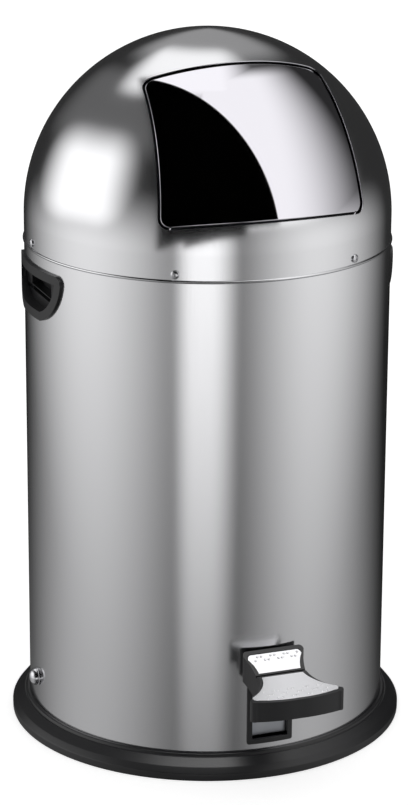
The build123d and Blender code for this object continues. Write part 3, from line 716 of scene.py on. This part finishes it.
def make_camera(scene, studio):
    data = bpy.data.cameras.new("camera")
    data.lens, data.sensor_width = studio.lens, 36
    data.clip_start, data.clip_end = 0.05, 100
    camera = new_object("camera", data)
    camera.location = before(studio, studio.distance, studio.height)
    aim = Matrix.Rotation(studio.azimuth + studio.yaw, 4, "Z") @ Matrix.Rotation(pi / 2 - studio.pitch, 4, "X")
    camera.rotation_euler = (aim @ Matrix.Rotation(studio.roll, 4, "Z")).to_euler()
    scene.camera = camera


def make_floor(studio):
    """A wide pale floor that keeps the bin's shadow and is white to the camera."""
    mesh = bpy.data.meshes.new("floor")
    corners = [(x * FLOOR_REACH, y * FLOOR_REACH, 0) for x, y in ((-1, -1), (1, -1), (1, 1), (-1, 1))]
    mesh.from_pydata(corners, [], [(0, 1, 2, 3)])
    floor = new_object("floor", mesh)
    material = bpy.data.materials.new("pale floor")
    tree = fresh_tree(material)
    matt = add(tree, "ShaderNodeBsdfDiffuse", {"Color": (*studio.floor, 1)})
    camera_ray = add(tree, "ShaderNodeLightPath").outputs["Is Camera Ray"]
    lift = math(tree, "MULTIPLY", camera_ray, FLOOR_GLOW)
    glow = add(tree, "ShaderNodeEmission", {"Color": (1, 1, 1, 1), "Strength": lift})
    add(tree, "ShaderNodeOutputMaterial", {"Surface": add(tree, "ShaderNodeAddShader", {0: matt, 1: glow})})
    mesh.materials.append(material)
    floor.visible_glossy = False


def ramp(tree, value, start, end, low=0.0, high=1.0):
    """A soft step from one value to another."""
    plan = {0: value, 1: start, 2: end, 3: low, 4: high}
    return add(tree, "ShaderNodeMapRange", plan, interpolation_type="SMOOTHSTEP")


def mirrored_spot(tree, direction, eye):
    """The normal of the spot on a ball in which the camera sees a direction. eye is in ball radii."""

    def combine(operation, first, second):
        return vector_math(tree, "NORMALIZE", vector_math(tree, operation, first, second))

    guess = combine("ADD", direction, eye.normalized())
    return combine("ADD", direction, combine("SUBTRACT", eye, guess))


def make_light(scene, studio):
    """A world that is white to the camera, even to matt surfaces, and a studio of panels to the metal."""
    world = bpy.data.worlds.new("studio")
    scene.world = world
    tree = fresh_tree(world)
    sizes = scene.bin_sizes
    direction = add(tree, "ShaderNodeTexCoord").outputs["Generated"]
    turned = {"Vector": direction, "Angle": -studio.azimuth}
    faced = add(tree, "ShaderNodeVectorRotate", turned, rotation_type="Z_AXIS").outputs[0]
    eye = Vector((0, -studio.distance, studio.height - sizes.dome_height)) / sizes.drum_radius
    spot = mirrored_spot(tree, faced, eye)
    x, y, z = add(tree, "ShaderNodeSeparateXYZ", {0: spot}).outputs
    around = math(tree, "DEGREES", math(tree, "ARCTAN2", x, math(tree, "MULTIPLY", y, -1.0)))
    up = math(tree, "DEGREES", math(tree, "ARCSINE", z))
    total = STUDIO_DARK
    for sideways, upward, level in PANELS:
        for value, (start, full, wane, end) in ((around, sideways), (up, upward)):
            level = math(tree, "MULTIPLY", ramp(tree, value, start, full), level)
            level = math(tree, "MULTIPLY", ramp(tree, value, wane, end, 1.0, 0.0), level)
        total = math(tree, "MAXIMUM", total, level)
    foot = add(tree, "ShaderNodeMapRange", {0: up, 1: FOOT_LOW, 2: FOOT_HIGH, 3: FOOT_LEVEL, 4: 1.0})
    total = math(tree, "MULTIPLY", total, foot)
    total = math(tree, "MULTIPLY", total, flag(tree, spot, studio, sizes))
    rays = add(tree, "ShaderNodeLightPath").outputs
    seen = add(tree, "ShaderNodeMix", {0: rays["Is Glossy Ray"], 2: studio.ambient, 3: total})
    seen = add(tree, "ShaderNodeMix", {0: rays["Is Camera Ray"], 2: seen, 3: 1.0})
    light = add(tree, "ShaderNodeBackground", {"Strength": seen})
    add(tree, "ShaderNodeOutputWorld", {"Surface": light})


def flag(tree, spot, studio, sizes):
    """0 where a black flag hides the lights: over the left of the flap, up to its left and lower edges."""
    turn = Matrix.Rotation(-studio.azimuth, 3, "Z")
    right, up, _ = (turn @ axis for axis in flap_axes(sizes.flap_tilt))

    def dot(vector):
        return vector_math(tree, "DOT_PRODUCT", spot, vector).outputs[1]

    def edge(value, at, soft=FLAG_SOFT, low=0.0, high=1.0):
        return ramp(tree, value, at - soft, at + soft, low, high)

    u, v = dot(right), dot(up)
    left = edge(math(tree, "MULTIPLY_ADD", v, -FLAG_SLANT, u), FLAG_LEFT)
    start, end = FLAG_LOWER_SPAN
    lower = math(tree, "MULTIPLY", edge(v, FLAG_LOWER), edge(u, end, low=1.0, high=0.0))
    lower = math(tree, "MULTIPLY", lower, edge(u, start))
    round_edge = edge(dot(FLAG_MIDDLE), FLAG_REACH, FLAG_ROUND_SOFT)
    above = math(tree, "MAXIMUM", edge(v, FLAG_LOW), lower)
    hidden = math(tree, "MULTIPLY", math(tree, "MULTIPLY", left, round_edge), above)
    return math(tree, "SUBTRACT", 1.0, hidden)


# Base and drum


def screw_head(name, radius, height, recess):
    """A domed screw head with a round socket, drawn along +X with its seat at the origin."""
    foot, socket_side, socket_depth = -1.2, 0.9, 1.2
    top = [(radius * sin(t), height * (0.4 + 0.6 * cos(t))) for t in (radians(a) for a in range(90, 15, -8))]
    top = [p for p in top if p[0] > recess]
    rim = top[-1][1]
    socket = [(recess, rim), (recess * 0.9, rim - socket_side), (0, rim - socket_depth)]
    shape = Shape()
    lathe(shape, [(0, foot), (radius, foot), *top, *socket], 40)
    piece = shape.finish(name)
    piece.data.transform(Matrix.Rotation(pi / 2, 4, "Y"))
    return piece


class Builder:
    """What the operators that build pieces share."""

    def execute(self, context):
        self.build(context.scene.bin_sizes)
        return {"FINISHED"}


class BIN_OT_base(Builder, bpy.types.Operator):
    """The black base moulding and its screws"""

    bl_idname = "bin.base"
    bl_label = "Base"

    def build(self, sizes):
        edge, wall = sizes.base_radius / MM, sizes.drum_radius / MM + 0.1
        ring_at, screw_seat = 120, 3.5
        # Up the outside, over the lip, down inside the wall, across the floor and back under the foot
        section = [
            (edge - 0.1, 0, 1.2),
            (edge, 7.4, 1.4),
            (edge - 4.2, 12.6, 5),
            (edge - 12.0, 19.0, 0.4),
            (edge - 13.4, 18.8, 0.5),
            (edge - 14.0, 22, 1.3),
            (wall, 22, 0.5),
            (wall, 7, 0),
            (wall - 9.1, 7, 0.5),
            (wall - 9.1, 3.5, 0.6),
            (0, 3.5, 0),
            (0, 0, 0),
            (45, 0, 0.3),
            (45.6, 1, 0.3),
            (159.4, 1, 0.3),
            (160, 0, 0.3),
        ]
        shape = Shape()
        lathe(shape, rounded(section, 6), 288)
        ring = shape.finish("base_ring")
        spots = [(ring_at * cos(a), ring_at * sin(a)) for a in (radians(45 + 90 * k) for k in range(4))]
        carve(ring, "UNION", [(True, (x, y, 4.5), (16, 16, 5)) for x, y in spots])
        holes = [(True, (x, y, 1.0), (10, 10, 5)) for x, y in spots]
        holes += [(True, (x, y, 5.0), (4.2, 4.2, 8)) for x, y in spots]
        # The shield on the pedal's arm dips into this pocket
        holes.append((False, (0, -162, 5.75), (48, 24, 4.5)))
        carve(ring, "DIFFERENCE", holes)
        dress(ring, "base", "black_plastic", "base_moulding")
        screw = screw_head("base_screw_heads", 4.5, 2.4, 1.6)
        screw.data.transform(Matrix.Rotation(pi / 2, 4, "Y") @ Matrix.Translation((-screw_seat * MM, 0, 0)))
        ring_of = dict(Count=4, Radius=ring_at * MM, Height=0.0, First_Angle=pi / 4)
        dress(grow(screw, ring_tree(), "zinc_steel", **ring_of), "base", "zinc_steel", "base_screws")


def grip_loop(inset):
    """The grip's outline across X as (y, z) points, drawn in from its rim by an inset."""
    top, low, half = 468.5, 419.5, 60.0
    side = [(half, top, 8.5), (half, top - 10, 3), (45, low + 10, 26), (25, low, 22)]
    corners = side + [(-y, z, radius) for y, z, radius in reversed(side)]
    return inward(spaced(rounded(corners, 8), 2.0), inset)


def spaced(loop, spacing):
    """A closed loop with extra points, so that none lie further apart than a spacing."""
    made = []
    for a, b in zip(loop, [*loop[1:], loop[0]]):
        steps = max(1, ceil((b - a).length / spacing))
        made += [a.lerp(b, k / steps) for k in range(steps)] if (b - a).length > 1e-6 else []
    return made


def inward(loop, inset):
    """A closed loop moved in by an inset, or out by a negative one."""
    area = sum(loop[i - 1].cross(loop[i]) for i in range(len(loop)))
    made = []
    for i, point in enumerate(loop):
        along = (loop[(i + 1) % len(loop)] - loop[i - 1]).normalized()
        normal = Vector((-along.y, along.x)) * (1 if area > 0 else -1)
        made.append(point + normal * inset)
    return made


class BIN_OT_drum(Builder, bpy.types.Operator):
    """The stainless drum with its holes for the grips and the pedal's arm"""

    bl_idname = "bin.drum"
    bl_label = "Drum"

    def build(self, sizes):
        radius, gauge = sizes.drum_radius / MM, sizes.sheet / MM
        low, high = sizes.drum_bottom / MM, sizes.seam / MM
        columns, rows = 288, 36
        half, foot, top = 19.4, 32, 112
        across = [radius * (-pi + 2 * pi * k / columns) for k in range(columns + 1)]
        up = [low + (high - low) * k / rows for k in range(rows + 1)]
        holes = []
        for side in (-1, 1):
            loop = grip_loop(6.0)
            holes.append([(side * radius * (pi / 2 + asin(p.x / radius)), p.y) for p in loop])
        slot = rounded([(half, foot, 0.6), (half, top, 0.6), (-half, top, 0.6), (-half, foot, 0.6)], 2)
        holes.append([(radius * asin(p.x / radius), p.y) for p in spaced(slot, 3)])
        outline = [(s, low) for s in across] + [(across[-1], z) for z in up[1:-1]]
        outline += [(s, high) for s in reversed(across)] + [(across[0], z) for z in reversed(up[1:-1])]
        fill = [(s, z) for s in across[1:-1] for z in up[1:-1]]
        flat, faces = flat_triangles(outline, holes, fill, 2.0)

        def skin(at, sign):
            def put(p):
                angle = p[0] / radius
                out = Vector((sin(angle), -cos(angle), 0))
                return out * at + Vector((0, 0, p[1])), out * sign

            return put

        def rim(a, b):
            """All open edges but the two that meet at the back."""
            return not any(side * a[0] > seam and side * b[0] > seam for side in (-1, 1))

        seam = across[-1] - 0.01
        shape = Shape()
        sheet(shape, flat, faces, skin(radius, 1), skin(radius - gauge, -1), rim)
        dress(shape.finish("drum_wall"), "base", "satin_steel", "drum")


class BIN_OT_grips(Builder, bpy.types.Operator):
    """The two black grip cups"""

    bl_idname = "bin.grips"
    bl_label = "Grips"

    def build(self, sizes):
        for side in ("right", "left"):
            adopt(f"{side}_grip", f"{side}_grip_cup", "base", "black_plastic", 0.9, 4)


# Pedal


def sloped(piece):
    """Tips the tread down towards its front edge, as in the photo, and leaves the pedal's underside level."""
    rear, low, top, fall = -0.2035, 0.084, 0.1095, 0.14
    for vertex in piece.data.vertices:
        ahead = max(0.0, rear - vertex.co.y)
        share = (vertex.co.z - low) / (top - low)
        vertex.co.z -= ahead * fall * max(0.0, min(1.0, share))
    return piece


class BIN_OT_pedal(Builder, bpy.types.Operator):
    """The pedal block, its dimpled steel inlays, its arm and the slot it moves in"""

    bl_idname = "bin.pedal"
    bl_label = "Pedal"

    def build(self, sizes):
        dress(sloped(softened("pedal_body", "pedal_block", 1.5, 4)), "pedal", "black_plastic", "pedal_body")
        # Each inlay with its rows of dimples: their width and length, how many across, and how far forward
        plan = (("tread_insert", 0.058, 0.012, 9, -0.006), ("kick_insert", 0.04, 0.0065, 7, 0.0035))
        for node, width, length, across, forward in plan:
            panel = softened(node, f"{node}_plate", 0.3)
            dimples = grow(
                softened(node, f"{node}_dimples", 0), dimple_tree(), "pedal_steel",
                Width=width, Length=length, Across=across, Along=3, Forward=forward, Size=0.0014, Height=0.0007,
            )
            for piece in (panel, dimples):
                if node == "tread_insert":
                    sloped(piece)
                dress(piece, "pedal", "pedal_steel", node)
        adopt("pedal_arm", "pedal_arm_channel", "pedal", "zinc_steel", 0.6, 3)
        adopt("slot_shield", "slot_shield_plate", "pedal", "slot_steel", 0)
        adopt("slot_bezel", "slot_frame", "base", "black_plastic", 0.7, 3)
        dress(sloped(softened("pedal_screws", "pedal_screw_pair", 0.3)), "pedal", "zinc_steel", "pedal_screws")


class BIN_OT_lever(Builder, bpy.types.Operator):
    """Axle, lever tube, crank, bushes and stops"""

    bl_idname = "bin.lever"
    bl_label = "Lever"

    def build(self, sizes):
        for node, body, slot, width in (
            ("axle", "base", "zinc_steel", 0.3),
            ("axle_plates", "base", "zinc_steel", 0.4),
            ("axle_sleeves", "base", "zinc_steel", 0.3),
            ("stop_buffers", "base", "black_rubber", 1.5),
            ("floor_plate", "base", "zinc_steel", 0),
            ("lever_tube", "pedal", "zinc_steel", 0.3),
            ("lever_bushes", "pedal", "white_nylon", 0.3),
            ("lift_crank", "pedal", "zinc_steel", 0.4),
        ):
            adopt(node, f"{node}_made", body, slot, width)
        drum_face, axle_height, cap_radius = 175, 51, 8.2
        foot = [(0, 0, 0), (9, 0, 0.2), (9, 1.3, 0.5), (cap_radius, 1.5, 0), (cap_radius, 3.2, 0.3)]
        angles = [radians(t) for t in range(88, -1, -8)]
        dome = [Vector((cap_radius * sin(t), 2.9 + 5.5 * cos(t))) for t in angles]
        shape = Shape()
        for side in (-1, 1):
            turn = Matrix.Rotation(side * pi / 2, 4, "Y")
            turn.translation = side * drum_face, 0, axle_height
            lathe(shape, [*rounded(foot, 3), *dome, Vector((0, 8.4))], 64, turn)
        dress(shape.finish("axle_caps"), "base", "bright_hardware", "axle_cap_nuts")


class BIN_OT_rod(Builder, bpy.types.Operator):
    """The lift rod with its clip and shoe, and the guides it slides in"""

    bl_idname = "bin.rod"
    bl_label = "Lift rod"

    def build(self, sizes):
        route = [(-131, 72, 51), (-150, 72, 51), (-150, 72, 480), (-160, -14.2, 480), (-160, -14.2, 489.5)]
        dress(wire("lift_rod_bar", route, 6.0, 6.5, "zinc_steel"), "lift_rod", "zinc_steel", "lift_rod")
        adopt("rod_clip", "rod_clip_ring", "lift_rod", "zinc_steel", 0.2)
        adopt("rod_shoe", "rod_shoe_cap", "lift_rod", "grey_plastic", 0.3)
        adopt("rod_guides", "rod_guide_blocks", "base", "white_nylon", 0.6)
        adopt("rod_grommet", "rod_grommet_ring", "base", "black_rubber", 0.4)


# Dome and flap


def flap_axes(tilt):
    """Sideways, up and outward directions at the middle of the flap."""
    out = Vector((0, -cos(tilt), sin(tilt)))
    return Vector((1, 0, 0)), Vector((0, sin(tilt), cos(tilt))), out


def opening_loop(inset):
    """The dome's opening, flat and square to the middle of the flap, drawn in by an inset."""
    top, low, bottom, narrow, wide, corner = 80.0, -67.5, -80.8, 87.5, 101.0, 13.0
    sag = low - bottom
    bend = (wide**2 + sag**2) / (2 * sag)
    arc = []
    for k in range(-9, 10):
        angle = k / 10 * asin(wide / bend)
        arc.append((bend * sin(angle), bottom + bend * (1 - cos(angle)), 0))
    loop = [(-wide, low, corner), *arc, (wide, low, corner), (narrow, top, corner), (-narrow, top, corner)]
    return inward(spaced(rounded(loop, 9), 2.5), inset)


def on_ball(point, radius, axes):
    """A flat point carried out on to a ball round the dome's centre. Gives its place and its normal."""
    right, up, out = axes
    x, y = point
    spot = right * x + up * y + out * sqrt(radius**2 - x * x - y * y)
    return spot, spot.normalized()


def ball_skin(radius, sign, axes, centre):
    """A function that carries flat points on to a ball, for a sheet's outer or inner surface."""

    def put(point):
        spot, normal = on_ball(point, radius, axes)
        return spot + centre, normal * sign

    return put


class BIN_OT_dome(Builder, bpy.types.Operator):
    """The stainless dome with its opening and rolled bead"""

    bl_idname = "bin.dome"
    bl_label = "Dome"

    def build(self, sizes):
        radius, gauge, centre = sizes.drum_radius / MM, sizes.sheet / MM, sizes.dome_height / MM
        axes = flap_axes(sizes.flap_tilt)
        columns = 240

        def flatten(unit):
            return unit.x / (1 + unit.z), unit.y / (1 + unit.z)

        def skin(at, sign):
            def put(p):
                q = p[0] ** 2 + p[1] ** 2
                unit = Vector((2 * p[0], 2 * p[1], 1 - q)) / (1 + q)
                return unit * at + Vector((0, 0, centre)), unit * sign

            return put

        def rim(a, b):
            """The opening's edges, but not the dome's foot, where the skirt goes on."""
            return min(a[0] ** 2 + a[1] ** 2, b[0] ** 2 + b[1] ** 2) < 0.999

        hole = [flatten(on_ball(p, radius, axes)[1]) for p in opening_loop(0)]
        outline = [(sin(2 * pi * k / columns), -cos(2 * pi * k / columns)) for k in range(columns)]
        fill = [(0.0, 0.0)]
        for rise in np.arange(1.5, 89, 1.5):
            ring = tan(radians(90 - rise) / 2)
            count = max(8, round(columns * cos(radians(rise))))
            fill += [(ring * sin(2 * pi * k / count), -ring * cos(2 * pi * k / count)) for k in range(count)]
        flat, faces = flat_triangles(outline, [hole], fill, 0.006)
        shape = Shape()
        sheet(shape, flat, faces, skin(radius, 1), skin(radius - gauge, -1), rim)
        self.skirt(shape, radius, gauge, centre, sizes.seam / MM, columns)
        dress(shape.finish("dome_sheet"), "dome", "satin_steel", "dome_shell")

    def skirt(self, shape, radius, gauge, centre, seam, columns):
        """The straight foot below the dome, and the bead rolled out and under it, back to the inner face."""
        bead, middle, steps = 1.3, seam + 1.6, 14
        side = [(radius, centre, (1, 0)), (radius, middle + bead, (1, 0))]
        roll = []
        for k in range(steps + 1):
            angle = radians(90 - (270 - degrees(acos(gauge / bead))) * k / steps)
            roll.append((radius + bead * cos(angle), middle + bead * sin(angle), (cos(angle), sin(angle))))
        inner = [(radius - gauge, roll[-1][1], (-1, 0)), (radius - gauge, centre, (-1, 0))]
        quarter_back = Matrix.Rotation(-pi / 2, 4, "Z")
        for strip in (side, roll, inner):
            for upper, lower in zip(strip, strip[1:]):
                spin(shape, lower, upper, columns, quarter_back)


class BIN_OT_dome_fittings(Builder, bpy.types.Operator):
    """Collar, screws, nuts and the flap's pivots"""

    bl_idname = "bin.dome_fittings"
    bl_label = "Dome fittings"

    def build(self, sizes):
        screw = screw_head("dome_screw_heads", 4.0, 2.3, 1.25)
        ring = dict(Count=6, Radius=0.1749, Height=0.488, First_Angle=0.0)
        dress(grow(screw, ring_tree(), "bright_hardware", **ring), "dome", "bright_hardware", "dome_screws")
        widths = dict(dome_collar=0, dome_nuts=0.2, pivot_brackets=0.4, pivot_pins=0.3, pivot_clips=0.2)
        for node, width in widths.items():
            adopt(node, f"{node}_made", "dome", "zinc_steel", width)


class BIN_OT_flap(Builder, bpy.types.Operator):
    """The mirror-finished flap with its backing, arms and roller"""

    bl_idname = "bin.flap"
    bl_label = "Flap"

    def build(self, sizes):
        axes = flap_axes(sizes.flap_tilt)
        centre = Vector((0, 0, sizes.dome_height / MM))
        gap, gauge = sizes.flap_gap / MM, sizes.sheet / MM
        outer, fold, depth = 173.2, 1.1, 3.0
        shape = Shape()
        # The panel, as far as its rolled edge
        fill = [(x, y) for x in np.arange(-104, 105, 4.0) for y in np.arange(-84, 85, 4.0)]
        flat, faces = flat_triangles(opening_loop(gap + fold), [], fill, 2.2)
        skins = [ball_skin(outer, 1, axes, centre), ball_skin(outer - gauge, -1, axes, centre)]
        sheet(shape, flat, faces, *skins, lambda a, b: False)
        # The edge: rolled over to the outside, turned in, and back up inside
        rings = []
        for turn in (radians(15 * k) for k in range(7)):
            rings.append((gap + fold * (1 - sin(turn)), outer - fold * (1 - cos(turn)), sin(turn), cos(turn)))
        rings.append((gap, outer - depth, 1, 0))
        under = [(gap, outer - depth, 0, -1), (gap + gauge, outer - depth, 0, -1)]
        back = [(gap + gauge, outer - depth, -1, 0), (gap + fold, outer - gauge, -1, 0)]
        for part in (rings, under, back):
            self.hem(shape, part, axes, centre)
        dress(shape.finish("flap_skin"), "flap", "mirror_steel", "flap_panel")
        self.backing(axes, centre, gauge)
        for node, slot, width in (
            ("left_flap_arm", "zinc_steel", 0.3),
            ("right_flap_arm", "zinc_steel", 0.3),
            ("flap_bushes", "white_nylon", 0.3),
            ("flap_roller", "white_nylon", 0.4),
            ("roller_pin", "zinc_steel", 0.2),
            ("flap_rivets", "bright_hardware", 0.3),
        ):
            adopt(node, f"{node}_made", "flap", slot, width)

    def hem(self, shape, rings, axes, centre):
        """Joins loops round the flap's edge. Each has an inset, a ball radius and a normal, aside and up."""
        loops = []
        for inset, at, sideways, lift in rings:
            row = []
            for p, q in zip(opening_loop(inset), opening_loop(inset - 0.5)):
                spot, normal = on_ball(p, at, axes)
                aside = on_ball(q, at, axes)[0] - spot
                aside = (aside - normal * aside.dot(normal)).normalized()
                row.append((spot + centre, (aside * sideways + normal * lift).normalized()))
            loops.append(row)
        for a, b in zip(loops, loops[1:]):
            for i in range(len(a)):
                j = (i + 1) % len(a)
                ring = (a[i], b[i], b[j], a[j])
                shape.face([p for p, _ in ring], [n for _, n in ring])

    def backing(self, axes, centre, gauge):
        """The curved sheet behind the flap."""
        outer, overlap = 170.1, 7
        fill = [(x, y) for x in np.arange(-110, 111, 5.0) for y in np.arange(-90, 91, 5.0)]
        flat, faces = flat_triangles(opening_loop(-overlap), [], fill, 2.5)
        shape = Shape()
        sheet(shape, flat, faces, ball_skin(outer, 1, axes, centre), ball_skin(outer - gauge, -1, axes, centre))
        dress(shape.finish("flap_backing_sheet"), "flap", "zinc_steel", "flap_backing")


# Liner


class BIN_OT_liner(Builder, bpy.types.Operator):
    """The lift-out liner, its bail and the ring it hangs on"""

    bl_idname = "bin.liner"
    bl_label = "Liner"

    def build(self, sizes):
        gauge, foot, bottom, top, mouth = 0.7, 140, 100, 474.2, 147.5
        outside = [(0, bottom, 0), (foot, bottom, 8), (mouth, top, 0)]
        within = [(mouth - gauge, top, 0), (foot - gauge, bottom + gauge, 7.3), (0, bottom + gauge, 0)]
        shape = Shape()
        lathe(shape, rounded(outside + within, 8))
        # The rolled lip
        lip_radius, lip_middle = 2.6, Vector((149.6, 476.8))
        angles = [radians(t) for t in range(0, 360, 20)]
        lathe(shape, [lip_middle + Vector((cos(t), sin(t))) * lip_radius for t in angles])
        dress(shape.finish("liner_can"), "liner", "galvanised_steel", "liner_bucket")
        half, pivot_height = [(0, 151), (0, 138.5), (62, 122), (112, 78)], 448
        route = [(x, -y, pivot_height) for x, y in half] + [(x, y, pivot_height) for x, y in reversed(half)]
        bail = wire("bail_wire_loop", route, 4.0, 24.0, "galvanised_steel")
        dress(bail, "bail", "galvanised_steel", "bail_wire")
        adopt("bail_grip", "bail_grip_sleeve", "bail", "grey_plastic", 0)
        adopt("bail_grommets", "bail_grommet_pair", "liner", "white_nylon", 0.3)
        adopt("liner_support", "liner_support_ring", "base", "zinc_steel", 0)


class BIN_PT_panel(bpy.types.Panel):
    """Sizes and pieces of the bin"""

    bl_idname = "BIN_PT_panel"
    bl_label = "Bin"
    bl_space_type = "VIEW_3D"
    bl_region_type = "UI"
    bl_category = "Bin"

    def draw(self, context):
        for group in (context.scene.bin_sizes, context.scene.bin_studio):
            for name in type(group).__annotations__:
                self.layout.prop(group, name)
        for operator in OPERATORS:
            self.layout.operator(operator.bl_idname)


OPERATORS = (
    BIN_OT_stage,
    BIN_OT_base,
    BIN_OT_drum,
    BIN_OT_grips,
    BIN_OT_pedal,
    BIN_OT_lever,
    BIN_OT_rod,
    BIN_OT_dome,
    BIN_OT_dome_fittings,
    BIN_OT_flap,
    BIN_OT_liner,
)
CLASSES = (BinSizes, StudioSettings, *OPERATORS, BIN_PT_panel)


def register():
    for made in CLASSES:
        bpy.utils.register_class(made)
    bpy.types.Scene.bin_sizes = PointerProperty(type=BinSizes)
    bpy.types.Scene.bin_studio = PointerProperty(type=StudioSettings)


def unregister():
    del bpy.types.Scene.bin_sizes, bpy.types.Scene.bin_studio
    for made in reversed(CLASSES):
        bpy.utils.unregister_class(made)


def main():
    register()
    for operator in OPERATORS:
        family, name = operator.bl_idname.split(".")
        getattr(getattr(bpy.ops, family), name)()


if __name__ == "__main__":
    main()
